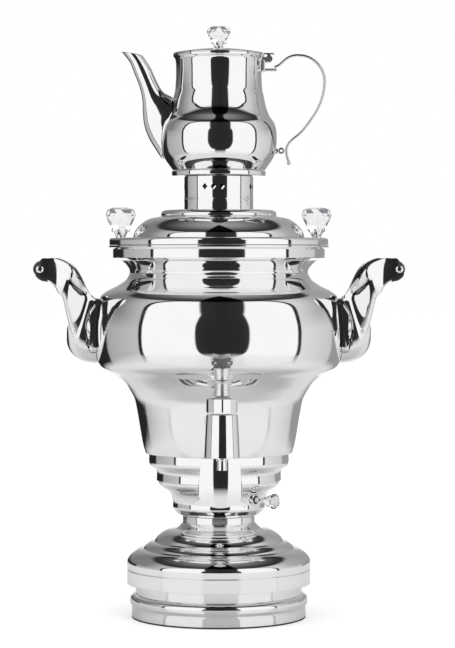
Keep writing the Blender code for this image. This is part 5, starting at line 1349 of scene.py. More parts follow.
def hull(name, points, bevel):
    """The convex body round some points, with its edges taken off."""
    bm = bmesh.new()
    for point in points:
        bm.verts.new(point)
    made = bmesh.ops.convex_hull(bm, input=bm.verts)
    bmesh.ops.delete(bm, geom=[v for v in made["geom_interior"] if v.is_valid], context="VERTS")
    bmesh.ops.dissolve_limit(bm, angle_limit=0.01, verts=bm.verts, edges=bm.edges)
    if bevel:
        bmesh.ops.bevel(bm, geom=bm.edges[:], offset=bevel, segments=2, affect="EDGES", profile=0.5)
    return finished_mesh(name, bm, 12)


def slab(name, outline, half_width, bevel, segments=3):
    """A flat outline in the XZ plane with some width each way along Y and rounded edges."""
    bm = bmesh.new()
    front = [bm.verts.new((x, -half_width, z)) for x, z in outline]
    back = [bm.verts.new((x, half_width, z)) for x, z in outline]
    bm.faces.new(front)
    bm.faces.new(back[::-1])
    for i in range(len(outline)):
        j = (i + 1) % len(outline)
        bm.faces.new((front[j], front[i], back[i], back[j]))
    rims = [edge for edge in bm.edges if abs(edge.verts[0].co.y - edge.verts[1].co.y) < 1e-7]
    bmesh.ops.bevel(bm, geom=rims, offset=bevel, segments=segments, affect="EDGES", profile=0.5)
    return finished_mesh(name, bm)


def new_object(name, mesh, place=(0, 0, 0), rotation=(0, 0, 0)):
    obj = bpy.data.objects.new(name, mesh)
    bpy.context.scene.collection.objects.link(obj)
    obj.location = place
    obj.rotation_euler = rotation
    return obj


def baked(obj, sharp=SHARP_DEGREES):
    """Turns the object's modifiers and placing into its mesh."""
    graph = bpy.context.evaluated_depsgraph_get()
    mesh = bpy.data.meshes.new_from_object(obj.evaluated_get(graph))
    mesh.transform(obj.matrix_basis)
    mesh.name = obj.name
    old = obj.data
    obj.modifiers.clear()
    obj.data = mesh
    obj.matrix_basis = Matrix.Identity(4)
    bpy.data.meshes.remove(old)
    smoothed(mesh, sharp)
    return obj


def bevelled(obj, width, segments):
    bevel = obj.modifiers.new("edges", "BEVEL")
    bevel.width = width
    bevel.segments = segments
    bevel.limit_method = "ANGLE"
    bevel.angle_limit = math.radians(EDGE_DEGREES)
    return obj


def united(obj, *others):
    return shaped(obj, others, "UNION")


def cut(obj, *others, sharp=SHARP_DEGREES):
    return shaped(obj, others, "DIFFERENCE", sharp)


def shaped(obj, others, operation, sharp=SHARP_DEGREES):
    """The object joined with or cut by others, meshes or objects, which are used up."""
    others = [new_object(o.name, o) if isinstance(o, bpy.types.Mesh) else o for o in others]
    for other in others:
        boolean = obj.modifiers.new(other.name, "BOOLEAN")
        boolean.operation = operation
        boolean.object = other
    baked(obj, sharp)
    for other in others:
        mesh = other.data
        bpy.data.objects.remove(other)
        bpy.data.meshes.remove(mesh)
    return obj


def joined(name, meshes):
    """One mesh made of several that touch or stand apart."""
    bm = bmesh.new()
    for mesh in meshes:
        bm.from_mesh(mesh)
        bpy.data.meshes.remove(mesh)
    mesh = bpy.data.meshes.new(name)
    bm.to_mesh(mesh)
    bm.free()
    return smoothed(mesh)


def set_out(obj, material, *nodes):
    """Puts a piece in its place in the frame, on the body of the solids that it stands for."""
    if obj.data.materials:
        obj.data.materials.clear()
    obj.data.materials.append(material)
    return ride_for(obj, *nodes)


def ride_for(obj, *nodes):
    obj.location = Vector(obj.location) + MIDDLE
    bpy.context.view_layer.update()
    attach(obj, BODY_OF[nodes[0]])
    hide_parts(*nodes)
    return obj


def added(obj, material, body):
    """A small piece that no solid stands for."""
    obj.data.materials.append(material)
    obj.location = Vector(obj.location) + MIDDLE
    bpy.context.view_layer.update()
    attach(obj, body)
    return obj


def set_out_in_two(obj, node, first, second):
    """Sets out a piece whose faces of material index 1 have a second material."""
    kinds = [face.material_index for face in obj.data.polygons]
    set_out(obj, MATERIALS[first], node)
    obj.data.materials.append(MATERIALS[second])
    obj.data.polygons.foreach_set("material_index", kinds)


def envelope(path):
    """The body inside a turned piece's outer side, with a gap, which its neighbours are cut by."""
    return new_object("envelope", lathe_mesh("envelope", fine_solid(moved_path(path, -GAP))))


def turned_piece(node, outline, material, steps=STEPS, place=(0, 0, 0), rotation=(0, 0, 0)):
    obj = new_object(f"{node}_fine", lathe_mesh(f"{node}_fine", outline, steps), place, rotation)
    return set_out(obj, material, node)


# Base, bowl and collar


def make_base():
    steel = MATERIALS["polished_steel"]
    rubber = MATERIALS["rubber"]
    inner = FOOT_RADIUS - GASKET_WIDTH
    gasket = refined(
        [(inner, 0), (inner, GASKET_THICKNESS), (FOOT_RADIUS, GASKET_THICKNESS), (FOOT_RADIUS, 0)]
    )
    turned_piece("foot_gasket", gasket, rubber)
    neck = FOOT_RADIUS - FOOT_NECK_INSET
    band_top = FOOT_BOTTOM + FOOT_BAND_HEIGHT
    crest = (FOOT_RADIUS + FOOT_BEAD_PROUD, band_top + FOOT_BEAD_HEIGHT * FOOT_CREST_SHARE)
    path = [(neck - FOOT_FLANGE_WIDTH, FOOT_TOP), (neck, FOOT_TOP)]
    path += stretch((neck, band_top + FOOT_BEAD_HEIGHT), crest, FOOT_BEAD_UPPER_SHARES)
    path += stretch(crest, (FOOT_RADIUS, band_top), FOOT_BEAD_LOWER_SHARES)
    path.append((FOOT_RADIUS, FOOT_BOTTOM))
    turned_piece("foot_ring", fine_sheet(path, FOOT_WALL), steel)
    tiers = (
        (SKIRT_RADIUS, MIDDLE_TIER_RADIUS, LOWER_TIER_HEIGHT),
        (MIDDLE_TIER_RADIUS, UPPER_TIER_RADIUS, MIDDLE_TIER_HEIGHT),
        (UPPER_TIER_RADIUS, FLARE_RADIUS, UPPER_TIER_HEIGHT),
    )
    rising = [(SKIRT_RADIUS - HEM_WIDTH, SHELL_BOTTOM), (SKIRT_RADIUS, SHELL_BOTTOM)]
    for inset, rise in ((0, -SEAM_HALF), (SEAM_DEPTH, 0), (0, SEAM_HALF)):
        rising.append((SKIRT_RADIUS - inset, SEAM_LEVEL + rise))
    level = SKIRT_TOP
    for outer, inner, height in tiers:
        rising += stretch((outer, level), (inner, level + height), TIER_SHARES)
        level += height
    rising += stretch((FLARE_RADIUS, level), (WAIST_RADIUS, level + FLARE_HEIGHT), FLARE_SHARES)
    rising += [(WAIST_RADIUS, SHELL_TOP), (WAIST_RADIUS - WAIST_FLANGE_WIDTH, SHELL_TOP)]
    turned_piece("base_shell", fine_sheet(rising[::-1], SHELL_WALL), steel)
    lower_top = COLLAR_BOTTOM + COLLAR_LOWER_HEIGHT
    step = ((COLLAR_LOWER_RADIUS, lower_top), (COLLAR_UPPER_RADIUS, lower_top + COLLAR_STEP_HEIGHT))
    rising = [
        (COLLAR_LOWER_RADIUS - COLLAR_FLANGE_WIDTH, COLLAR_BOTTOM),
        (COLLAR_LOWER_RADIUS, COLLAR_BOTTOM),
        *stretch(*step, COLLAR_STEP_SHARES),
        (COLLAR_UPPER_RADIUS, COLLAR_TOP),
    ]
    turned_piece("vessel_collar", fine_sheet(rising[::-1], COLLAR_WALL), steel)
    guard = new_object("drip_guard_fine", loft("drip_guard", guard_rings(GUARD_FINE_COLUMNS)))
    set_out(baked(bevelled(guard, GUARD_EDGE, 3)), steel, "drip_guard")


def make_bowl():
    path = bowl_path()
    path.append((path[-1][0] - BOWL_FLANGE_WIDTH, BOWL_BOTTOM))
    bowl = new_object("control_bowl_fine", lathe_mesh("control_bowl", fine_sheet(path, BOWL_WALL)))
    wall = radius_at(bowl_path(), CONTROL_LEVEL)
    hole = rod("hole", control_place(wall / 2), control_place(wall + OVERRUN), BUSHING_RADIUS + GAP)
    wide = INLET_HALF_WIDTH + GAP
    tall = INLET_HALF_HEIGHT + GAP
    low = (-wide, BOWL_RADIUS / 2, INLET_LEVEL - tall)
    high = (wide, BOWL_RADIUS + INLET_PROUD, INLET_LEVEL + tall)
    cut(bowl, hole, block("window", low, high))
    set_out(bowl, MATERIALS["polished_steel"], "control_bowl")


# Vessel, rim band and lid


def make_vessel():
    steel = MATERIALS["polished_steel"]
    path = vessel_path()
    path.append((0, VESSEL_BOTTOM))
    vessel = new_object("vessel_fine", lathe_mesh("vessel", floored_sheet(path, VESSEL_WALL)))
    wall = radius_at(vessel_path(), TAP_LEVEL)
    start = (0, -wall / 2, TAP_LEVEL)
    end = (0, -wall - ROSETTE_PROUD, TAP_LEVEL)
    cut(vessel, rod("hole", start, end, SHANK_RADIUS + GAP))
    set_out(vessel, steel, "vessel")
    chamfer_top = BAND_BOTTOM + BAND_CHAMFER_HEIGHT
    step_bottom = chamfer_top + BAND_HEIGHT
    outline = [
        (BAND_BORE_RADIUS, chamfer_top + BAND_CHAMFER_HEIGHT),
        (BAND_BORE_RADIUS, BAND_TOP),
        (RIM_RADIUS, BAND_TOP),
        (RIM_RADIUS, step_bottom + BAND_STEP_HEIGHT),
        (BAND_RADIUS, step_bottom),
        (BAND_RADIUS, chamfer_top),
        (MOUTH_RADIUS, BAND_BOTTOM),
        (MOUTH_RADIUS - VESSEL_WALL, BAND_BOTTOM),
    ]
    turned_piece("rim_band", refined(outline), steel)


def make_lid():
    steel = MATERIALS["polished_steel"]
    skirt = BAND_BORE_RADIUS - LID_SKIRT_PLAY
    dome_top = BRIM_TOP + LID_DOME_HEIGHT
    path = [
        (LID_HOLE_RADIUS, LID_TOP),
        (LID_CROWN_RADIUS - LID_CROWN_ROUND, LID_TOP),
        (LID_CROWN_RADIUS - 0.3 * LID_CROWN_ROUND, LID_TOP - 0.3 * LID_CROWN_ROUND),
        (LID_CROWN_RADIUS, LID_TOP - LID_CROWN_ROUND),
        *stretch((LID_CROWN_RADIUS, dome_top), (LID_DOME_RADIUS, BRIM_TOP), LID_DOME_SHARES),
        (LID_RADIUS - LID_BRIM_ROUND, BRIM_TOP),
        (LID_RADIUS - 0.3 * LID_BRIM_ROUND, BRIM_TOP - 0.3 * LID_BRIM_ROUND),
        (LID_RADIUS, BRIM_TOP - LID_BRIM_ROUND),
        (LID_RADIUS, LID_BOTTOM),
        (skirt, LID_BOTTOM),
        (skirt, LID_BOTTOM - LID_SKIRT_DEPTH),
    ]
    turned_piece("lid", fine_sheet(path, LID_WALL), steel)
    for side in (-1, 1):
        name = side_name(side, "lid_knob_right", "lid_knob_left")
        make_knob(name, (side * LID_KNOB_REACH, 0, BRIM_TOP), LID_KNOB, LID_WALL)


def claw(foot, tip, turn, width):
    """A narrow blade that rises from a ferrule's foot and leans out to a ball at its tip."""
    about = Matrix.Rotation(turn, 4, "Z")
    rings = []
    for i in range(CLAW_STATIONS):
        share = i / (CLAW_STATIONS - 1)
        radius = foot[0] + (tip[0] - foot[0]) * share**1.7
        height = foot[1] + (tip[1] - foot[1]) * share
        half = width * (0.66 - 0.18 * share)
        thick = width * 0.40
        ring = []
        for j in range(CLAW_SIDES):
            corner = math.tau * j / CLAW_SIDES
            ring.append(
                about @ Vector((radius + thick * math.cos(corner), half * math.sin(corner), height))
            )
        rings.append(ring)
    end = about @ Vector((tip[0], 0, tip[1]))
    return [loft("claw", rings), ball("claw_ball", end, width * 0.52, 14)]


def make_knob(name, place, knob, sheet):
    """A cut crystal held by the claws of a ferrule that is riveted through its sheet."""
    foot, ferrule, height, crystal, crystal_height, rivet, head, head_height = knob
    seat = GAP + height
    head_top = -sheet - GAP
    collar = GAP + height * COLLAR_SHARE
    outline = fine_solid(
        [
            (foot * 0.72, collar + height * 0.10),
            (foot * 0.98, collar),
            (foot, collar - height * 0.10),
            (foot * 0.86, GAP + height * 0.14),
            (foot * 1.04, GAP + height * 0.08),
            (foot * 1.04, GAP),
            (rivet, GAP),
            (rivet, head_top),
            (head, head_top),
            (head * 0.8, head_top - head_height),
        ],
        longest=FINE_SPACING,
    )
    pieces = [lathe_mesh(f"{name}_ferrule", outline, FINE_STEPS)]
    for i in range(CLAWS):
        turn = math.tau * (i + CLAW_START) / CLAWS
        start = (foot * 0.86, collar - height * 0.12)
        pieces += claw(start, (ferrule * 1.10, seat - height * 0.08), turn, ferrule * 0.40)
    obj = new_object(f"{name}_ferrule_fine", joined(f"{name}_ferrule", pieces), place)
    set_out(obj, MATERIALS["polished_steel"], f"{name}_ferrule")
    widths = (foot * 0.86, ferrule * 1.12, crystal)
    stone = cut_stone(f"{name}_crystal", *widths, crystal_height, seat, collar)
    obj = new_object(f"{name}_crystal_fine", stone, place)
    set_out_in_two(obj, f"{name}_crystal", "crystal", "crystal_painted_reflection")


def cut_stone(name, root, foot, radius, height, seat, bottom):
    """A many-sided cut stone that tapers down between its claws, with some crown facets in a dark
    material as painted reflections.
    """
    rings = [
        (root, bottom + STONE_ROOT_RISE, 0.0),
        (root + (foot - root) * 0.55, bottom + (seat - bottom) * 0.5, 0.5),
        (foot, seat + STONE_SEAT_RISE, 0.0),
        (foot + (radius - foot) * 0.70, seat + height * 0.36, 0.5),
        (radius, seat + height * 0.64, 0.0),
        (radius, seat + height * 0.74, 0.5),
        (radius * 0.86, seat + height * 0.92, 0.0),
        (radius * 0.56, seat + height * 1.0, 0.5),
    ]
    points = []
    for ring_radius, level, offset in rings:
        for i in range(STONE_FACETS):
            turn = math.tau * (i + offset) / STONE_FACETS
            points.append((ring_radius * math.cos(turn), ring_radius * math.sin(turn), level))
    stone = hull(name, points, radius * STONE_EDGE_SHARE)
    # Every other facet of the crown gets the dark material: painted reflection of the studio in the cut
    # facets
    for face in stone.polygons:
        facet = round(math.atan2(face.center.y, face.center.x) / math.tau * STONE_FACETS)
        crown = seat + height * 0.72 < face.center.z < seat + height * 0.94
        face.material_index = int(crown and facet % PAINTED_REFLECTION_FACET_STEP == 0)
    return stone


# Chimney and stand ring


def make_chimney():
    steel = MATERIALS["polished_steel"]
    inner = CHIMNEY_RADIUS - CHIMNEY_WALL
    bead = CHIMNEY_BOTTOM + BEAD_RISE
    outline = [
        (inner, CHIMNEY_BOTTOM),
        (inner, CHIMNEY_TOP),
        (CHIMNEY_RADIUS, CHIMNEY_TOP),
        (CHIMNEY_RADIUS, bead + BEAD_HALF),
        (CHIMNEY_RADIUS + BEAD_PROUD, bead),
        (CHIMNEY_RADIUS, bead - BEAD_HALF),
        (CHIMNEY_RADIUS, CHIMNEY_BOTTOM),
    ]
    tube = new_object("chimney_fine", lathe_mesh("chimney", refined(outline)))
    cutters = []
    for group in range(DIAMOND_GROUPS):
        for number in range(DIAMONDS_IN_GROUP):
            turn = DIAMOND_TURN_DEGREES + group * 360 / DIAMOND_GROUPS
            turn += (number - (DIAMONDS_IN_GROUP - 1) / 2) * DIAMOND_STEP_DEGREES
            wide, tall = DIAMOND_WIDTH / 2 * DIAMOND_GROWN, DIAMOND_HEIGHT / 2
            level = CHIMNEY_TOP - DIAMOND_DROP
            outline = [(-wide, level), (0, level - tall), (wide, level), (0, level + tall)]
            prism = slab("diamond", outline, CHIMNEY_WALL + OVERRUN, 0.0)
            prism.transform(Matrix.Translation((0, -CHIMNEY_RADIUS, 0)))
            prism.transform(Matrix.Rotation(math.radians(turn), 4, "Z"))
            cutters.append(prism)
    set_out(cut(tube, *cutters), steel, "chimney")
    domes = []
    for azimuth in RIVET_DEGREES:
        for level in RIVET_RISES:
            turn = math.radians(azimuth)
            place = (
                CHIMNEY_RADIUS * math.sin(turn),
                -CHIMNEY_RADIUS * math.cos(turn),
                CHIMNEY_BOTTOM + level,
            )
            domes.append(ball("dome", place, RIVET_RADIUS, 12))
    rivets = new_object("chimney_rivets", joined("chimney_rivets", domes))
    added(rivets, steel, "lid")
    spigot = inner - GAP
    spigot_bottom = STAND_BOTTOM - STAND_SPIGOT_DEPTH
    ring = [
        (spigot - STAND_SPIGOT_WALL, STAND_TOP),
        (STAND_RADIUS - STAND_ROUND, STAND_TOP),
        (STAND_RADIUS, STAND_TOP - STAND_ROUND),
        (STAND_RADIUS, STAND_BOTTOM + STAND_ROUND),
        (STAND_RADIUS - STAND_ROUND, STAND_BOTTOM),
        (spigot, STAND_BOTTOM),
        (spigot, spigot_bottom),
        (spigot - STAND_SPIGOT_WALL, spigot_bottom),
    ]
    turned_piece("stand_ring", refined(ring), steel)


# Teapot


def make_pot_body():
    path = pot_path()
    path.append((0, POT_BOTTOM))
    body = new_object("teapot_body_fine", lathe_mesh("teapot_body", floored_sheet(path, POT_WALL)))
    level = POT_BOTTOM + SPOUT_PORT_LEVEL
    wall = radius_at(pot_path(), level)
    port = rod("port", (-wall - OVERRUN, 0, level), (-wall / 2, 0, level), SPOUT_PORT_RADIUS)
    set_out(cut(body, port), MATERIALS["polished_steel"], "teapot_body")


def spout_ring(station, inset):
    low_out, low_up, high_out, high_up, wide = table_row(SPOUT_SHARES, station)
    low = Vector((-SPOUT_REACH * low_out, 0, POT_BOTTOM + SPOUT_HEIGHT * low_up))
    high = Vector((-SPOUT_REACH * high_out, 0, POT_BOTTOM + SPOUT_HEIGHT * high_up))
    centre = (low + high) / 2
    half_tall = (high - low) / 2
    half_tall -= half_tall.normalized() * inset
    half_wide = Vector((0, SPOUT_HALF_WIDTH * wide - inset, 0))
    turns = [math.tau * i / SPOUT_FINE_SIDES for i in range(SPOUT_FINE_SIDES)]
    return [centre + half_tall * math.cos(turn) + half_wide * math.sin(turn) for turn in turns]


def make_spout():
    last = len(SPOUT_SHARES) - 1
    stations = [last * i / SPOUT_STATIONS for i in range(SPOUT_STATIONS + 1)]
    outer = [spout_ring(station, 0) for station in stations]
    inner = [spout_ring(station, SPOUT_WALL) for station in stations]
    rim = [spout_ring(last, SPOUT_WALL * share) for share in (0.25, 0.75)]
    lift = (outer[-1][0] - outer[-2][0]).normalized() * SPOUT_WALL * 0.35
    rim = [[point + lift for point in ring] for ring in rim]
    body = loft("teapot_spout", outer + rim + inner[::-1] + [outer[0]], caps=False)
    spout = new_object("teapot_spout_fine", body)
    cut(spout, envelope(pot_path()), sharp=EDGE_DEGREES)
    set_out(spout, MATERIALS["polished_steel"], "teapot_spout")


def make_strap():
    """The bent strap of the teapot's handle, with rounded edges and a small ball at its tail."""
    eye = EYE_REACH + EYE_RADIUS + GAP + STRAP_THICKNESS / 2
    level = POT_BOTTOM + EYE_HEIGHT
    lap_level = POT_TOP - ARM_DROP + GAP + STRAP_THICKNESS / 2
    middle = [(eye + STRAP_REACH * out, level + STRAP_HEIGHT * up) for out, up in STRAP_SHARES]
    middle += [(ARM_REACH, lap_level), (ARM_REACH - STRAP_LAP, lap_level)]
    places = curve_through(middle, STRAP_SPACING)
    half = Vector((STRAP_THICKNESS / 2, STRAP_WIDTH / 2))
    round_off = STRAP_THICKNESS * 0.42
    section = []
    for start, (across, along) in enumerate(((1, 1), (-1, 1), (-1, -1), (1, -1))):
        for step in range(4):
            turn = math.pi / 2 * (start + step / 3)
            section.append(
                (
                    across * (half.x - round_off) + round_off * math.cos(turn),
                    along * (half.y - round_off) + round_off * math.sin(turn),
                )
            )
    rings = []
    for i, place in enumerate(places):
        run = places[min(i + 1, len(places) - 1)] - places[max(i - 1, 0)]
        side = Vector((run.y, -run.x)).normalized()
        rings.append(
            [Vector((place.x + side.x * a, b, place.y + side.y * a)) for a, b in section]
        )
    tail = places[0]
    tip = ball("tail", (tail.x, 0, tail.y), STRAP_BALL_RADIUS, 20)
    mesh = joined("teapot_handle", [loft("strap", rings), tip])
    set_out(new_object("teapot_handle_fine", mesh), MATERIALS["polished_steel"], "teapot_handle")


def hinge_rod(name, reach, radius, steps=ROD_STEPS):
    """A rod on the lid hinge's axis that reaches as far to each side."""
    start = (HINGE_REACH, -reach, HINGE_LEVEL)
    return rod(name, start, (HINGE_REACH, reach, HINGE_LEVEL), radius, steps)


def make_socket():
    root = POT_NECK_RADIUS / 2
    top = POT_TOP - SOCKET_DROP
    arm_top = POT_TOP - ARM_DROP
    low = (root, -SOCKET_HALF_WIDTH, top - SOCKET_HEIGHT)
    high = (SOCKET_FACE, SOCKET_HALF_WIDTH, top)
    socket = new_object("handle_socket_fine", block("socket", low, high, SOCKET_EDGE))
    arm_low = (POT_NECK_RADIUS, -ARM_HALF_WIDTH, arm_top - ARM_HEIGHT)
    pieces = [block("arm", arm_low, (ARM_REACH, ARM_HALF_WIDTH, arm_top), ARM_EDGE)]
    near = HINGE_LEAF_HALF_WIDTH + HINGE_SIDE_PLAY
    for side in (-1, 1):
        start = (HINGE_REACH, side * near, HINGE_LEVEL)
        end = (HINGE_REACH, side * HINGE_HALF_WIDTH, HINGE_LEVEL)
        pieces.append(rod("knuckle", start, end, HINGE_RADIUS, KNUCKLE_STEPS))
        sides = sorted((side * (near + GAP), side * (SOCKET_HALF_WIDTH - GAP)))
        web_low = (root, sides[0], HINGE_LEVEL - HINGE_RADIUS + GAP)
        web_high = (HINGE_REACH, sides[1], HINGE_LEVEL + HINGE_WEB_INSET)
        pieces.append(block("web", web_low, web_high))
    united(socket, *pieces)
    reach = HINGE_HALF_WIDTH + OVERRUN
    cut(socket, envelope(pot_path()), hinge_rod("bore", reach, HINGE_PIN_RADIUS + GAP))
    set_out(socket, MATERIALS["satin_steel"], "handle_socket")
    pin = hinge_rod("hinge_pin", HINGE_HALF_WIDTH + HINGE_PIN_OVERHANG, HINGE_PIN_RADIUS)
    set_out(new_object("hinge_pin_fine", pin), MATERIALS["dull_steel"], "hinge_pin")


def make_eye():
    level = POT_BOTTOM + EYE_HEIGHT
    wall = radius_at(pot_path(), level)
    half = EYE_HALF_WIDTH
    barrel = refined(
        [(0, -half), (EYE_RADIUS * 0.8, -half), (EYE_RADIUS, -half * 0.8), (EYE_RADIUS, half * 0.8)]
        + [(EYE_RADIUS * 0.8, half), (0, half)],
        FINE_SPACING,
    )
    mesh = lathe_mesh("handle_eye", on_axis(barrel), FINE_STEPS)
    eye = new_object("handle_eye_fine", mesh, (EYE_REACH, 0, level), (math.pi / 2, 0, 0))
    baked(eye)
    root = (wall / 2, 0, level)
    stem = rod("stem", root, (EYE_REACH, 0, level), EYE_STEM_RADIUS, ROD_STEPS)
    pad = rod("pad", root, (wall + EYE_PAD_PROUD, 0, level), EYE_PAD_RADIUS, KNUCKLE_STEPS)
    united(eye, stem, pad)
    ends = [(EYE_REACH, 2 * half * side, level) for side in (-1, 1)]
    cut(eye, envelope(pot_path()), rod("hole", *ends, EYE_HOLE_RADIUS, ROD_STEPS))
    set_out(eye, MATERIALS["polished_steel"], "handle_eye")


def make_pot_lid():
    steel = MATERIALS["polished_steel"]
    edge = POT_NECK_RADIUS + POT_RIM_PROUD
    skirt = POT_NECK_RADIUS - POT_WALL - POT_LID_SKIRT_PLAY
    inner = skirt - POT_LID_WALL
    rise = POT_LID_RISE * (edge - inner) / (edge - POT_LID_FLAT_RADIUS)
    skirt_bottom = POT_LID_BOTTOM - POT_LID_SKIRT_DEPTH
    side = refined(
        [
            (AXIS_START, POT_LID_TOP),
            (POT_LID_FLAT_RADIUS, POT_LID_TOP),
            (edge - LID_EDGE, POT_LID_EDGE),
            (edge, POT_LID_EDGE - LID_EDGE),
            (edge, POT_LID_BOTTOM),
            (skirt, POT_LID_BOTTOM),
            (skirt, skirt_bottom),
            (inner, skirt_bottom),
            (inner, POT_LID_EDGE + rise - POT_LID_WALL),
            (AXIS_START, POT_LID_TOP - POT_LID_WALL),
        ]
    )
    lid = new_object("teapot_lid_fine", lathe_mesh("teapot_lid", on_axis(side)))
    half = HINGE_LEAF_HALF_WIDTH
    leaf_bottom = POT_LID_BOTTOM + GAP
    leaf_top = leaf_bottom + HINGE_LEAF_THICKNESS
    web_low = (HINGE_REACH - HINGE_WEB_INSET, GAP - half, HINGE_LEVEL)
    web_high = (HINGE_REACH + HINGE_WEB_INSET, half - GAP, leaf_top - GAP)
    leaf_low = (HINGE_LEAF_ROOT, -half, leaf_bottom)
    united(
        lid,
        block("leaf", leaf_low, (HINGE_LEAF_REACH, half, leaf_top), LEAF_EDGE),
        block("web", web_low, web_high),
        hinge_rod("knuckle", half, HINGE_RADIUS, KNUCKLE_STEPS),
    )
    cut(lid, hinge_rod("bore", HINGE_HALF_WIDTH, HINGE_PIN_RADIUS + GAP))
    set_out(lid, steel, "teapot_lid")
    lever_foot = (HINGE_LEAF_REACH - LEVER_INSET, 0, leaf_top - SINK)
    lever_tip = (HINGE_REACH + LEVER_REACH, 0, HINGE_LEVEL + LEVER_RISE)
    lever = [
        rod("lever", lever_foot, lever_tip, LEVER_RADIUS, 20),
        ball("lever_ball", lever_tip, LEVER_BALL_RADIUS, 20),
    ]
    obj = new_object("lid_thumb_lever", joined("lid_thumb_lever", lever))
    added(obj, steel, "teapot_lid")
    make_knob("teapot_knob", (0, 0, POT_LID_TOP), POT_KNOB, POT_LID_WALL)


# Tap


def make_tap():
    steel = MATERIALS["polished_steel"]
    place = (0, -tap_reach(), 0)
    bottom = TAP_LEVEL - TAP_BODY_DROP
    top = TAP_LEVEL + TAP_BODY_RISE
    floor = TAP_LEVEL - PLUG_DROP - GAP
    spigot_top = bottom + SPIGOT_DEPTH + GAP
    outline = [
        (PLUG_RADIUS + GAP, top),
        (TAP_TOP_RADIUS, top),
        (TAP_TOP_RADIUS + 0.55 * (TAP_BOTTOM_RADIUS - TAP_TOP_RADIUS), (top + bottom) / 2),
        (TAP_BOTTOM_RADIUS, bottom),
        (SPIGOT_RADIUS + GAP, bottom),
        (SPIGOT_RADIUS + GAP, spigot_top),
        (FLOW_RADIUS, spigot_top),
        (FLOW_RADIUS, floor),
        (PLUG_RADIUS + GAP, floor),
    ]
    body = new_object("tap_body_fine", lathe_mesh("tap_body", refined(outline)), place)
    tail = washer_plane() + GAP + TAP_NUT_THICKNESS + SHANK_TAIL
    start = (0, SHANK_ROOT - tap_reach(), TAP_LEVEL)
    shank = rod("shank", start, (0, tail, TAP_LEVEL), SHANK_RADIUS)
    united(body, shank)
    ends = (0, -tap_reach(), TAP_LEVEL), (0, tail + OVERRUN, TAP_LEVEL)
    cut(body, rod("flow", *ends, FLOW_RADIUS))
    set_out(body, steel, "tap_body")
    wall = radius_at(vessel_path(), TAP_LEVEL)
    hole = SHANK_RADIUS + GAP
    face = wall + ROSETTE_PROUD
    rosette = [
        (hole, wall / 2),
        (hole, face),
        (ROSETTE_FACE_RADIUS, face),
        (ROSETTE_RADIUS * 0.95, face - ROSETTE_EDGE * 0.45),
        (ROSETTE_RADIUS, face - ROSETTE_EDGE),
        (ROSETTE_RADIUS, wall / 2),
    ]
    mesh = lathe_mesh("tap_rosette", refined(rosette, FINE_SPACING))
    piece = new_object("tap_rosette_fine", mesh, (0, 0, TAP_LEVEL), (math.pi / 2, 0, 0))
    set_out(cut(baked(piece), envelope(vessel_path())), steel, "tap_rosette")
    bottom -= GAP
    lip = bottom - NOZZLE_LENGTH
    outline = [
        (FLOW_RADIUS, lip),
        (FLOW_RADIUS, bottom + SPIGOT_DEPTH),
        (SPIGOT_RADIUS, bottom + SPIGOT_DEPTH),
        (SPIGOT_RADIUS, bottom),
        (NOZZLE_COLLAR_RADIUS, bottom),
        (NOZZLE_COLLAR_RADIUS, bottom - NOZZLE_COLLAR_HEIGHT),
        (NOZZLE_RADIUS, bottom - NOZZLE_COLLAR_HEIGHT - NOZZLE_COLLAR_EDGE),
        (NOZZLE_RADIUS * 0.96, (bottom + lip) / 2),
        (NOZZLE_RADIUS, lip),
    ]
    turned_piece("tap_nozzle", refined(outline, FINE_SPACING), steel, FINE_STEPS, place)
    bottom = top + GAP
    crest = bottom + BONNET_HEIGHT
    outline = [
        (STEM_RADIUS + GAP, bottom),
        (STEM_RADIUS + GAP, crest),
        (BONNET_RADIUS * 0.62, crest),
        (BONNET_RADIUS - BONNET_CHAMFER, crest - BONNET_CHAMFER * 0.25),
        (BONNET_RADIUS, crest - BONNET_CHAMFER * 1.2),
        (BONNET_RADIUS, bottom + BONNET_CHAMFER),
        (BONNET_RADIUS * 0.955, bottom),
    ]
    facet = math.tau / BONNET_FACETS

    def fluting(turn):
        off = (turn % facet) - facet / 2
        return min(1.0, math.cos(facet / 2) / math.cos(off) + 0.004)

    mesh = lathe_mesh("tap_bonnet", refined(outline, FINE_SPACING), BONNET_FACETS * 10, fluting)
    set_out(new_object("tap_bonnet_fine", mesh, place), steel, "tap_bonnet")


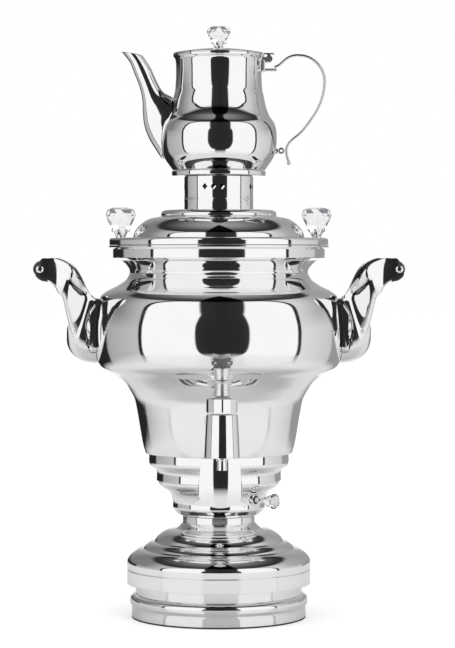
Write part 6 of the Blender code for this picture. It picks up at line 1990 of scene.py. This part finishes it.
def make_key():
    place = Vector((0, -tap_reach(), 0))
    bottom = TAP_LEVEL + TAP_BODY_RISE + GAP + BONNET_HEIGHT + GAP
    top = bottom + SPOOL_HEIGHT
    ring = bottom + SPOOL_RING_RISE
    ring_top = ring + SPOOL_RING_HEIGHT
    bore = STEM_RADIUS + GAP
    bore_top = bottom + STEM_RISE + SPOOL_SOCKET_PLAY
    side = refined(
        [
            (AXIS_START, top),
            (SPOOL_RADIUS * 0.80, top),
            (SPOOL_RADIUS, top - SPOOL_EDGE),
            (SPOOL_RADIUS * 0.97, top - SPOOL_TAPER),
            (SPOOL_THROAT_RADIUS, ring_top + SPOOL_RING_HEIGHT),
            (SPOOL_THROAT_RADIUS * 1.02, ring_top + SPOOL_RING_FILLET),
            (SPOOL_RING_RADIUS, ring_top - SPOOL_RING_EDGE),
            (SPOOL_RING_RADIUS, ring + SPOOL_RING_EDGE),
            (SPOOL_THROAT_RADIUS * 1.02, ring - SPOOL_RING_FILLET),
            (SPOOL_THROAT_RADIUS, ring - SPOOL_RING_HEIGHT),
            (SPOOL_RADIUS * 0.97, bottom + SPOOL_TAPER),
            (SPOOL_RADIUS, bottom + SPOOL_EDGE),
            (SPOOL_RADIUS * 0.9, bottom),
            (bore, bottom),
            (bore, bore_top),
            (AXIS_START, bore_top),
        ],
        FINE_SPACING,
    )
    key = new_object("tap_key_fine", lathe_mesh("tap_key", on_axis(side), FINE_STEPS), place)
    baked(key)
    foot = top - KEY_SINK
    shares = curve_through(KEY_SHARES, KEY_SPACING)
    wing = [(KEY_HALF_WIDTH * across, foot + KEY_HEIGHT * up) for across, up in shares]
    mesh = slab("wing", wing, KEY_THICKNESS / 2, KEY_ROUNDING, 6)
    united(key, new_object("wing", mesh, place))
    dimples = []
    for side in (-1, 1):
        for end in (-1, 1):
            centre = place + Vector(
                (
                    side * KEY_HALF_WIDTH * DIMPLE_REACH,
                    end * (KEY_THICKNESS / 2 + DIMPLE_RADIUS * 0.35),
                    foot + KEY_HEIGHT * DIMPLE_RISE,
                )
            )
            dimples.append(ball("dimple", centre, DIMPLE_RADIUS))
    set_out(cut(key, *dimples), MATERIALS["satin_steel"], "tap_key")


# Temperature control


def make_control():
    outward = (math.pi / 2, 0, math.radians(CONTROL_AZIMUTH_DEGREES))
    place = (0, 0, CONTROL_LEVEL)
    wall = radius_at(bowl_path(), CONTROL_LEVEL)
    front = wall + BUSHING_PROUD
    flange = fine_solid(
        [
            (BUSHING_FLANGE_RADIUS * 0.86, front),
            (BUSHING_FLANGE_RADIUS, front - BUSHING_EDGE),
            (BUSHING_FLANGE_RADIUS, wall - BUSHING_SEAT),
        ],
        longest=FINE_SPACING,
    )
    mesh = lathe_mesh("bushing", flange, FINE_STEPS)
    bushing = cut(
        baked(new_object("control_bushing_fine", mesh, place, outward)), envelope(bowl_path())
    )
    box_face = wall - THERMOSTAT_SETBACK
    ends = control_place(box_face - BUSHING_TAIL), control_place(front - GAP)
    united(bushing, rod("shank", *ends, BUSHING_RADIUS))
    ends = control_place(box_face / 2), control_place(front + OVERRUN)
    cut(bushing, rod("bore", *ends, SPINDLE_RADIUS + GAP))
    set_out(bushing, MATERIALS["black_plastic"], "control_bushing")
    bushing.data.materials.append(MATERIALS["polished_steel"])
    axis = (Vector(control_place(1)) - Vector(control_place(0))).normalized()
    for face in bushing.data.polygons:
        off = (bushing.matrix_world @ face.center - in_frame(control_place(0))).cross(axis).length
        if off > BUSHING_BLACK_RADIUS:
            face.material_index = 1
    foot = front + SPINDLE_NECK
    seat = foot + CONTROL_FERRULE_LENGTH
    small = CONTROL_FERRULE_FOOT_RADIUS
    stem = fine_solid(
        [
            (small * 0.7, foot + STEM_TOP_RISE),
            (small * 1.25, foot + STEM_SHOULDER_RISE),
            (small, foot - STEM_TAPER_START),
            (SPINDLE_RADIUS, foot - STEM_TAPER_END),
            (SPINDLE_RADIUS, front + STEM_RING_HIGH),
            (small * 1.1, front + STEM_RING_TOP),
            (small * 1.1, front + STEM_RING_BOTTOM),
            (SPINDLE_RADIUS, front + STEM_RING_LOW),
            (SPINDLE_RADIUS, box_face - SPINDLE_TAIL),
        ],
        longest=FINE_SPACING,
    )
    pieces = [lathe_mesh("stem", stem, FINE_STEPS)]
    for i in range(CONTROL_CLAWS):
        tip = (CONTROL_FERRULE_RADIUS * 1.04, seat + CLAW_OVERLAP)
        turn = math.tau * (i + 0.5) / CONTROL_CLAWS
        pieces += claw((small * 0.8, foot + CONTROL_CLAW_RISE), tip, turn, CONTROL_FERRULE_RADIUS * 0.36)
    obj = new_object("control_spindle_fine", joined("control_spindle", pieces), place, outward)
    set_out(obj, MATERIALS["polished_steel"], "control_spindle")
    widths = (small * 1.3, CONTROL_FERRULE_RADIUS * 0.92, CONTROL_CRYSTAL_RADIUS)
    height = CONTROL_CRYSTAL_LENGTH
    stone = cut_stone("control_crystal", *widths, height, seat, foot + CONTROL_STONE_RISE)
    obj = new_object("control_crystal_fine", stone, place, outward)
    set_out_in_two(obj, "control_crystal", "crystal", "crystal_painted_reflection")


# Handles


def wing_point(side, end, station, share):
    high_out, high_up, low_out, low_up, spread = table_row(WING_SHARES, station)
    x = BULGE_RADIUS + HANDLE_REACH * (high_out + (low_out - high_out) * share)
    z = BULGE_LEVEL + HANDLE_RISE * (high_up + (low_up - high_up) * share)
    y = WING_ROOT_SPREAD + (WING_TIP_SPREAD - WING_ROOT_SPREAD) * spread
    return Vector((side * x, end * y, z))


def wing_normal(side, end, station, share):
    """The direction square to a wing's surface that points away from the other wing."""
    nudge = 1 / 16
    station = min(station, len(WING_SHARES) - 1 - nudge)
    share = min(share, 1 - nudge)
    here = wing_point(side, end, station, share)
    along = wing_point(side, end, station + nudge, share) - here
    down = wing_point(side, end, station, share + nudge) - here
    normal = along.cross(down).normalized()
    return normal if normal.y * end > 0 else -normal


def crowned_point(side, end, station, share):
    """A point of a wing's outer middle, which swells a little between its edges."""
    last = len(WING_SHARES) - 1
    swell = WING_CROWN * (1 - (2 * share - 1) ** 2) * min(1.0, (last - station) / 2)
    return wing_point(side, end, station, share) + wing_normal(side, end, station, share) * swell


def pad_room(name, side, grown, steps):
    """The pad's body, or the room for it where it is grown, swept about the vessel's axis."""
    path = pad_outline(grown)
    face = [Vector(point) for point in curve_through(path[1:-1], PAD_SPACING)]
    inner = [Vector(path[0]), *face, Vector(path[-1])]
    half_sweep = math.radians(PAD_FACET_DEGREES * PAD_FACETS) * (1 if grown else 0.5)
    ends = [(0.0, 0.0), (1.0, 0.0)] if grown else PAD_END_ROUNDS
    turns = [(-half_sweep + arc / BULGE_RADIUS, inset) for arc, inset in ends if arc < 1]
    first = turns[-1][0]
    turns += [(first * (1 - 2 * i / steps), 0.0) for i in range(1, steps)]
    turns += [(-turn, inset) for turn, inset in reversed(turns[: len(turns) - steps + 1])]
    middle = sum((Vector(point) for point in inner), Vector((0, 0))) / len(inner)
    rings = []
    for turn, inset in turns:
        ring = []
        for r, height in inner:
            r = max(min(r, middle.x), r - inset)
            height += max(-inset / 2, min(inset / 2, middle.y - height))
            ring.append((side * r * math.cos(turn), r * math.sin(turn), height))
        rings.append(ring)
    return loft(name, rings)


def make_pad(side):
    name = side_name(side, "right_pad", "left_pad")
    pad = bevelled(new_object(f"{name}_fine", pad_room(name, side, 0, PAD_STEPS)), PAD_EDGE, 2)
    set_out(cut(pad, envelope(vessel_path())), MATERIALS["polished_steel"], name)
    # The pad's inner part, next to the vessel, is black plastic: painted shade for the shadowed gap
    # between pad and vessel
    pad.data.materials.append(MATERIALS["black_plastic"])
    for face in pad.data.polygons:
        if math.hypot(face.center.x, face.center.y) < PAD_PAINTED_SHADE_RADIUS:
            face.material_index = 1


def grip_place(side):
    """Where the grip's axis runs, in X and Z."""
    x = side * (BULGE_RADIUS + HANDLE_REACH - GRIP_INSET)
    return x, BULGE_LEVEL + HANDLE_RISE - GRIP_DROP


def make_wing(side, end):
    name = side_name(side, "right", "left") + side_name(end, "_wing_rear", "_wing_front")
    last = len(WING_SHARES) - 1
    stations = [last * i / WING_STATIONS for i in range(WING_STATIONS + 1)]
    rings = []
    for station in stations:
        rows = []
        for share in [i / WING_FINE_ROWS for i in range(WING_FINE_ROWS + 1)]:
            middle = crowned_point(side, end, station, share)
            half = wing_normal(side, end, station, share) * (WING_THICKNESS / 2)
            rows.append((middle + half, middle - half))
        rings.append([outer for outer, _ in rows] + [inner for _, inner in reversed(rows)])
    wing = bevelled(new_object(f"{name}_fine", loft(name, rings)), WING_EDGE, 3)
    x, level = grip_place(side)
    reach = WING_TIP_SPREAD + OVERRUN
    hole = rod("hole", (x, -reach, level), (x, reach, level), SCREW_RADIUS + GAP)
    cut(wing, pad_room("room", side, GAP, PAD_STEPS), hole)
    border = side * TIP_BORDER
    bm = bmesh.new()
    bm.from_mesh(wing.data)
    geom = bm.verts[:] + bm.edges[:] + bm.faces[:]
    bmesh.ops.bisect_plane(bm, geom=geom, plane_co=(border, 0, 0), plane_no=(1, 0, 0))
    for face in bm.faces:
        face.material_index = int(face.calc_center_median().x * side > TIP_BORDER)
    bm.to_mesh(wing.data)
    bm.free()
    smoothed(wing.data)
    limit = CAD_BOX[1][0]
    for vertex in wing.data.vertices:
        vertex.co.x = max(-limit, min(limit, vertex.co.x))
    set_out_in_two(wing, name, "polished_steel", "black_gloss")
    spot = crowned_point(side, end, BOLT_STATION, BOLT_SHARE)
    out = wing_normal(side, end, BOLT_STATION, BOLT_SHARE)
    foot = spot + out * (WING_THICKNESS / 2 - SINK)
    dome = fine_solid(
        [
            (BOLT_RADIUS * 0.5, BOLT_HEIGHT),
            (BOLT_RADIUS * 0.85, BOLT_HEIGHT * 0.7),
            (BOLT_RADIUS, 0),
        ],
        longest=FINE_SPACING,
    )
    bolt = new_object(f"{name}_bolt", lathe_mesh("bolt", dome, FINE_STEPS), foot)
    bolt.rotation_euler = out.to_track_quat("Z", "Y").to_euler()
    added(bolt, MATERIALS["polished_steel"], "base")


def make_cup(side):
    name = side_name(side, "right_cup", "left_cup")
    clear = (WING_THICKNESS + CUP_THICKNESS) / 2 + GAP
    turns = [math.pi * i / CUP_FINE_COLUMNS for i in range(CUP_FINE_COLUMNS + 1)]
    last = len(CUP_SHARES) - 1
    rows = []
    for i in range(CUP_STATIONS + 1):
        station, out, drop = table_row(CUP_SHARES, last * i / CUP_STATIONS)
        inward = -wing_normal(side, 1, station, CUP_EDGE_SHARE)
        rear = crowned_point(side, 1, station, CUP_EDGE_SHARE) + inward * clear
        half_width = Vector((0, rear.y, 0))
        middle = rear - half_width
        low = Vector((side * (BULGE_RADIUS + CUP_REACH * out), 0, BULGE_LEVEL - CUP_DROP * drop))
        rows.append(
            [
                middle - half_width * math.cos(turn) + (low - middle) * math.sin(turn)
                for turn in turns
            ]
        )
    cup = new_object(f"{name}_fine", loft(name, rows, closed=False, caps=False))
    solid = cup.modifiers.new("sheet", "SOLIDIFY")
    solid.thickness = CUP_THICKNESS
    solid.offset = 0
    solid.use_even_offset = True
    bevelled(cup, CUP_EDGE, 2)
    room = pad_room("room", side, GAP, PAD_STEPS)
    cut(cup, envelope(vessel_path()), room, sharp=40)
    set_out(cup, MATERIALS["polished_steel"], name)


def make_grip(side):
    prefix = side_name(side, "right", "left")
    half_length = WING_TIP_SPREAD - WING_THICKNESS / 2 - GAP
    outer_face = WING_TIP_SPREAD + WING_THICKNESS / 2
    x, level = grip_place(side)
    swell = GRIP_RADIUS - GRIP_END_RADIUS - GRIP_TRIM
    shares = [*GRIP_SWELL_SHARES, *[(out, -along) for out, along in GRIP_SWELL_SHARES[::-1]]]
    path = [(GRIP_END_RADIUS + swell * out, half_length * along) for out, along in shares]
    mesh = lathe_mesh("grip", fine_solid(path[::-1], longest=GRIP_SPACING), GRIP_STEPS)
    grip = new_object(f"{prefix}_grip_fine", mesh, (x, 0, level), (math.pi / 2, 0, 0))
    set_out(grip, MATERIALS["black_plastic"], f"{prefix}_grip")
    head_bottom = outer_face + GAP
    tip = head_bottom - SCREW_LENGTH
    outline = fine_solid(
        [
            (SCREW_HEAD_RADIUS * 0.4, head_bottom + SCREW_HEAD_HEIGHT),
            (SCREW_HEAD_RADIUS * 0.8, head_bottom + SCREW_HEAD_HEIGHT * 0.72),
            (SCREW_HEAD_RADIUS, head_bottom + SCREW_HEAD_HEIGHT * 0.1),
            (SCREW_HEAD_RADIUS, head_bottom),
            (SCREW_RADIUS, head_bottom),
            (SCREW_RADIUS, tip),
        ],
        longest=FINE_SPACING,
    )
    for end in (-1, 1):
        name = prefix + side_name(end, "_screw_rear", "_screw_front")
        mesh = lathe_mesh(name, outline, FINE_STEPS)
        screw = new_object(f"{name}_fine", mesh, (x, 0, level), (-end * math.pi / 2, 0, 0))
        reach = SCREW_HEAD_RADIUS * 0.62
        crest = head_bottom + SCREW_HEAD_HEIGHT
        slots = []
        for turn in (SLOT_TURN, SLOT_TURN + math.pi / 2):
            low = (-reach, -SLOT_HALF, crest - SLOT_DEPTH)
            mesh = block("slot", low, (reach, SLOT_HALF, crest + OVERRUN))
            mesh.transform(Matrix.Rotation(turn, 4, "Z"))
            slot = new_object("slot", mesh, (x, 0, level), (-end * math.pi / 2, 0, 0))
            slots.append(slot)
        set_out(cut(baked(screw), *slots), MATERIALS["polished_steel"], name)


def dress_solids():
    """Gives the solids that stay in sight inside or under the object their finishes."""
    for node, obj in frame["nodes"].items():
        if obj.hide_render:
            continue
        material = MATERIALS[SLOT_OF[node]]
        if not obj.material_slots:
            obj.data.materials.append(material)
        for slot in obj.material_slots:
            slot.material = material


def make_materials():
    kinds = ((metal, METALS), (plastic, PLASTICS), (crystal_material, CRYSTALS))
    return {name: make(name, *row) for make, rows in kinds for name, row in rows.items()}


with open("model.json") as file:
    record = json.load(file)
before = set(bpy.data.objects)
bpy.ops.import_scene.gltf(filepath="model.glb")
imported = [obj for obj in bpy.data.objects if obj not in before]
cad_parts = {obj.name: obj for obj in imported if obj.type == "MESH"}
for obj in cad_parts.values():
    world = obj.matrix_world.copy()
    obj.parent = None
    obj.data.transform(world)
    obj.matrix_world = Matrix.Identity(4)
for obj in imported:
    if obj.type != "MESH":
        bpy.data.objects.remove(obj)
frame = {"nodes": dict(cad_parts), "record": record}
CAD_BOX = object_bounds()
vessel_low, vessel_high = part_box("vessel")
MIDDLE = Vector((0, (vessel_low.y + vessel_high.y) / 2, 0))
BODY_OF = {
    node: body for body, nodes in frame["record"]["behaviour"]["bodies"].items() for node in nodes
}
SLOT_OF = {row["node"]: row["material_slot"] for row in frame["record"]["subparts"]}
MATERIALS = make_materials()
make_world()
make_camera()
for lamp_row in LAMPS:
    make_lamp(*lamp_row)
make_stage()
make_base()
make_bowl()
make_vessel()
make_lid()
make_chimney()
make_pot_body()
make_spout()
make_strap()
make_socket()
make_eye()
make_pot_lid()
make_tap()
make_key()
make_control()
for handle_side in (-1, 1):
    make_pad(handle_side)
    make_cup(handle_side)
    make_grip(handle_side)
    for wing_end in (-1, 1):
        make_wing(handle_side, wing_end)
dress_solids()
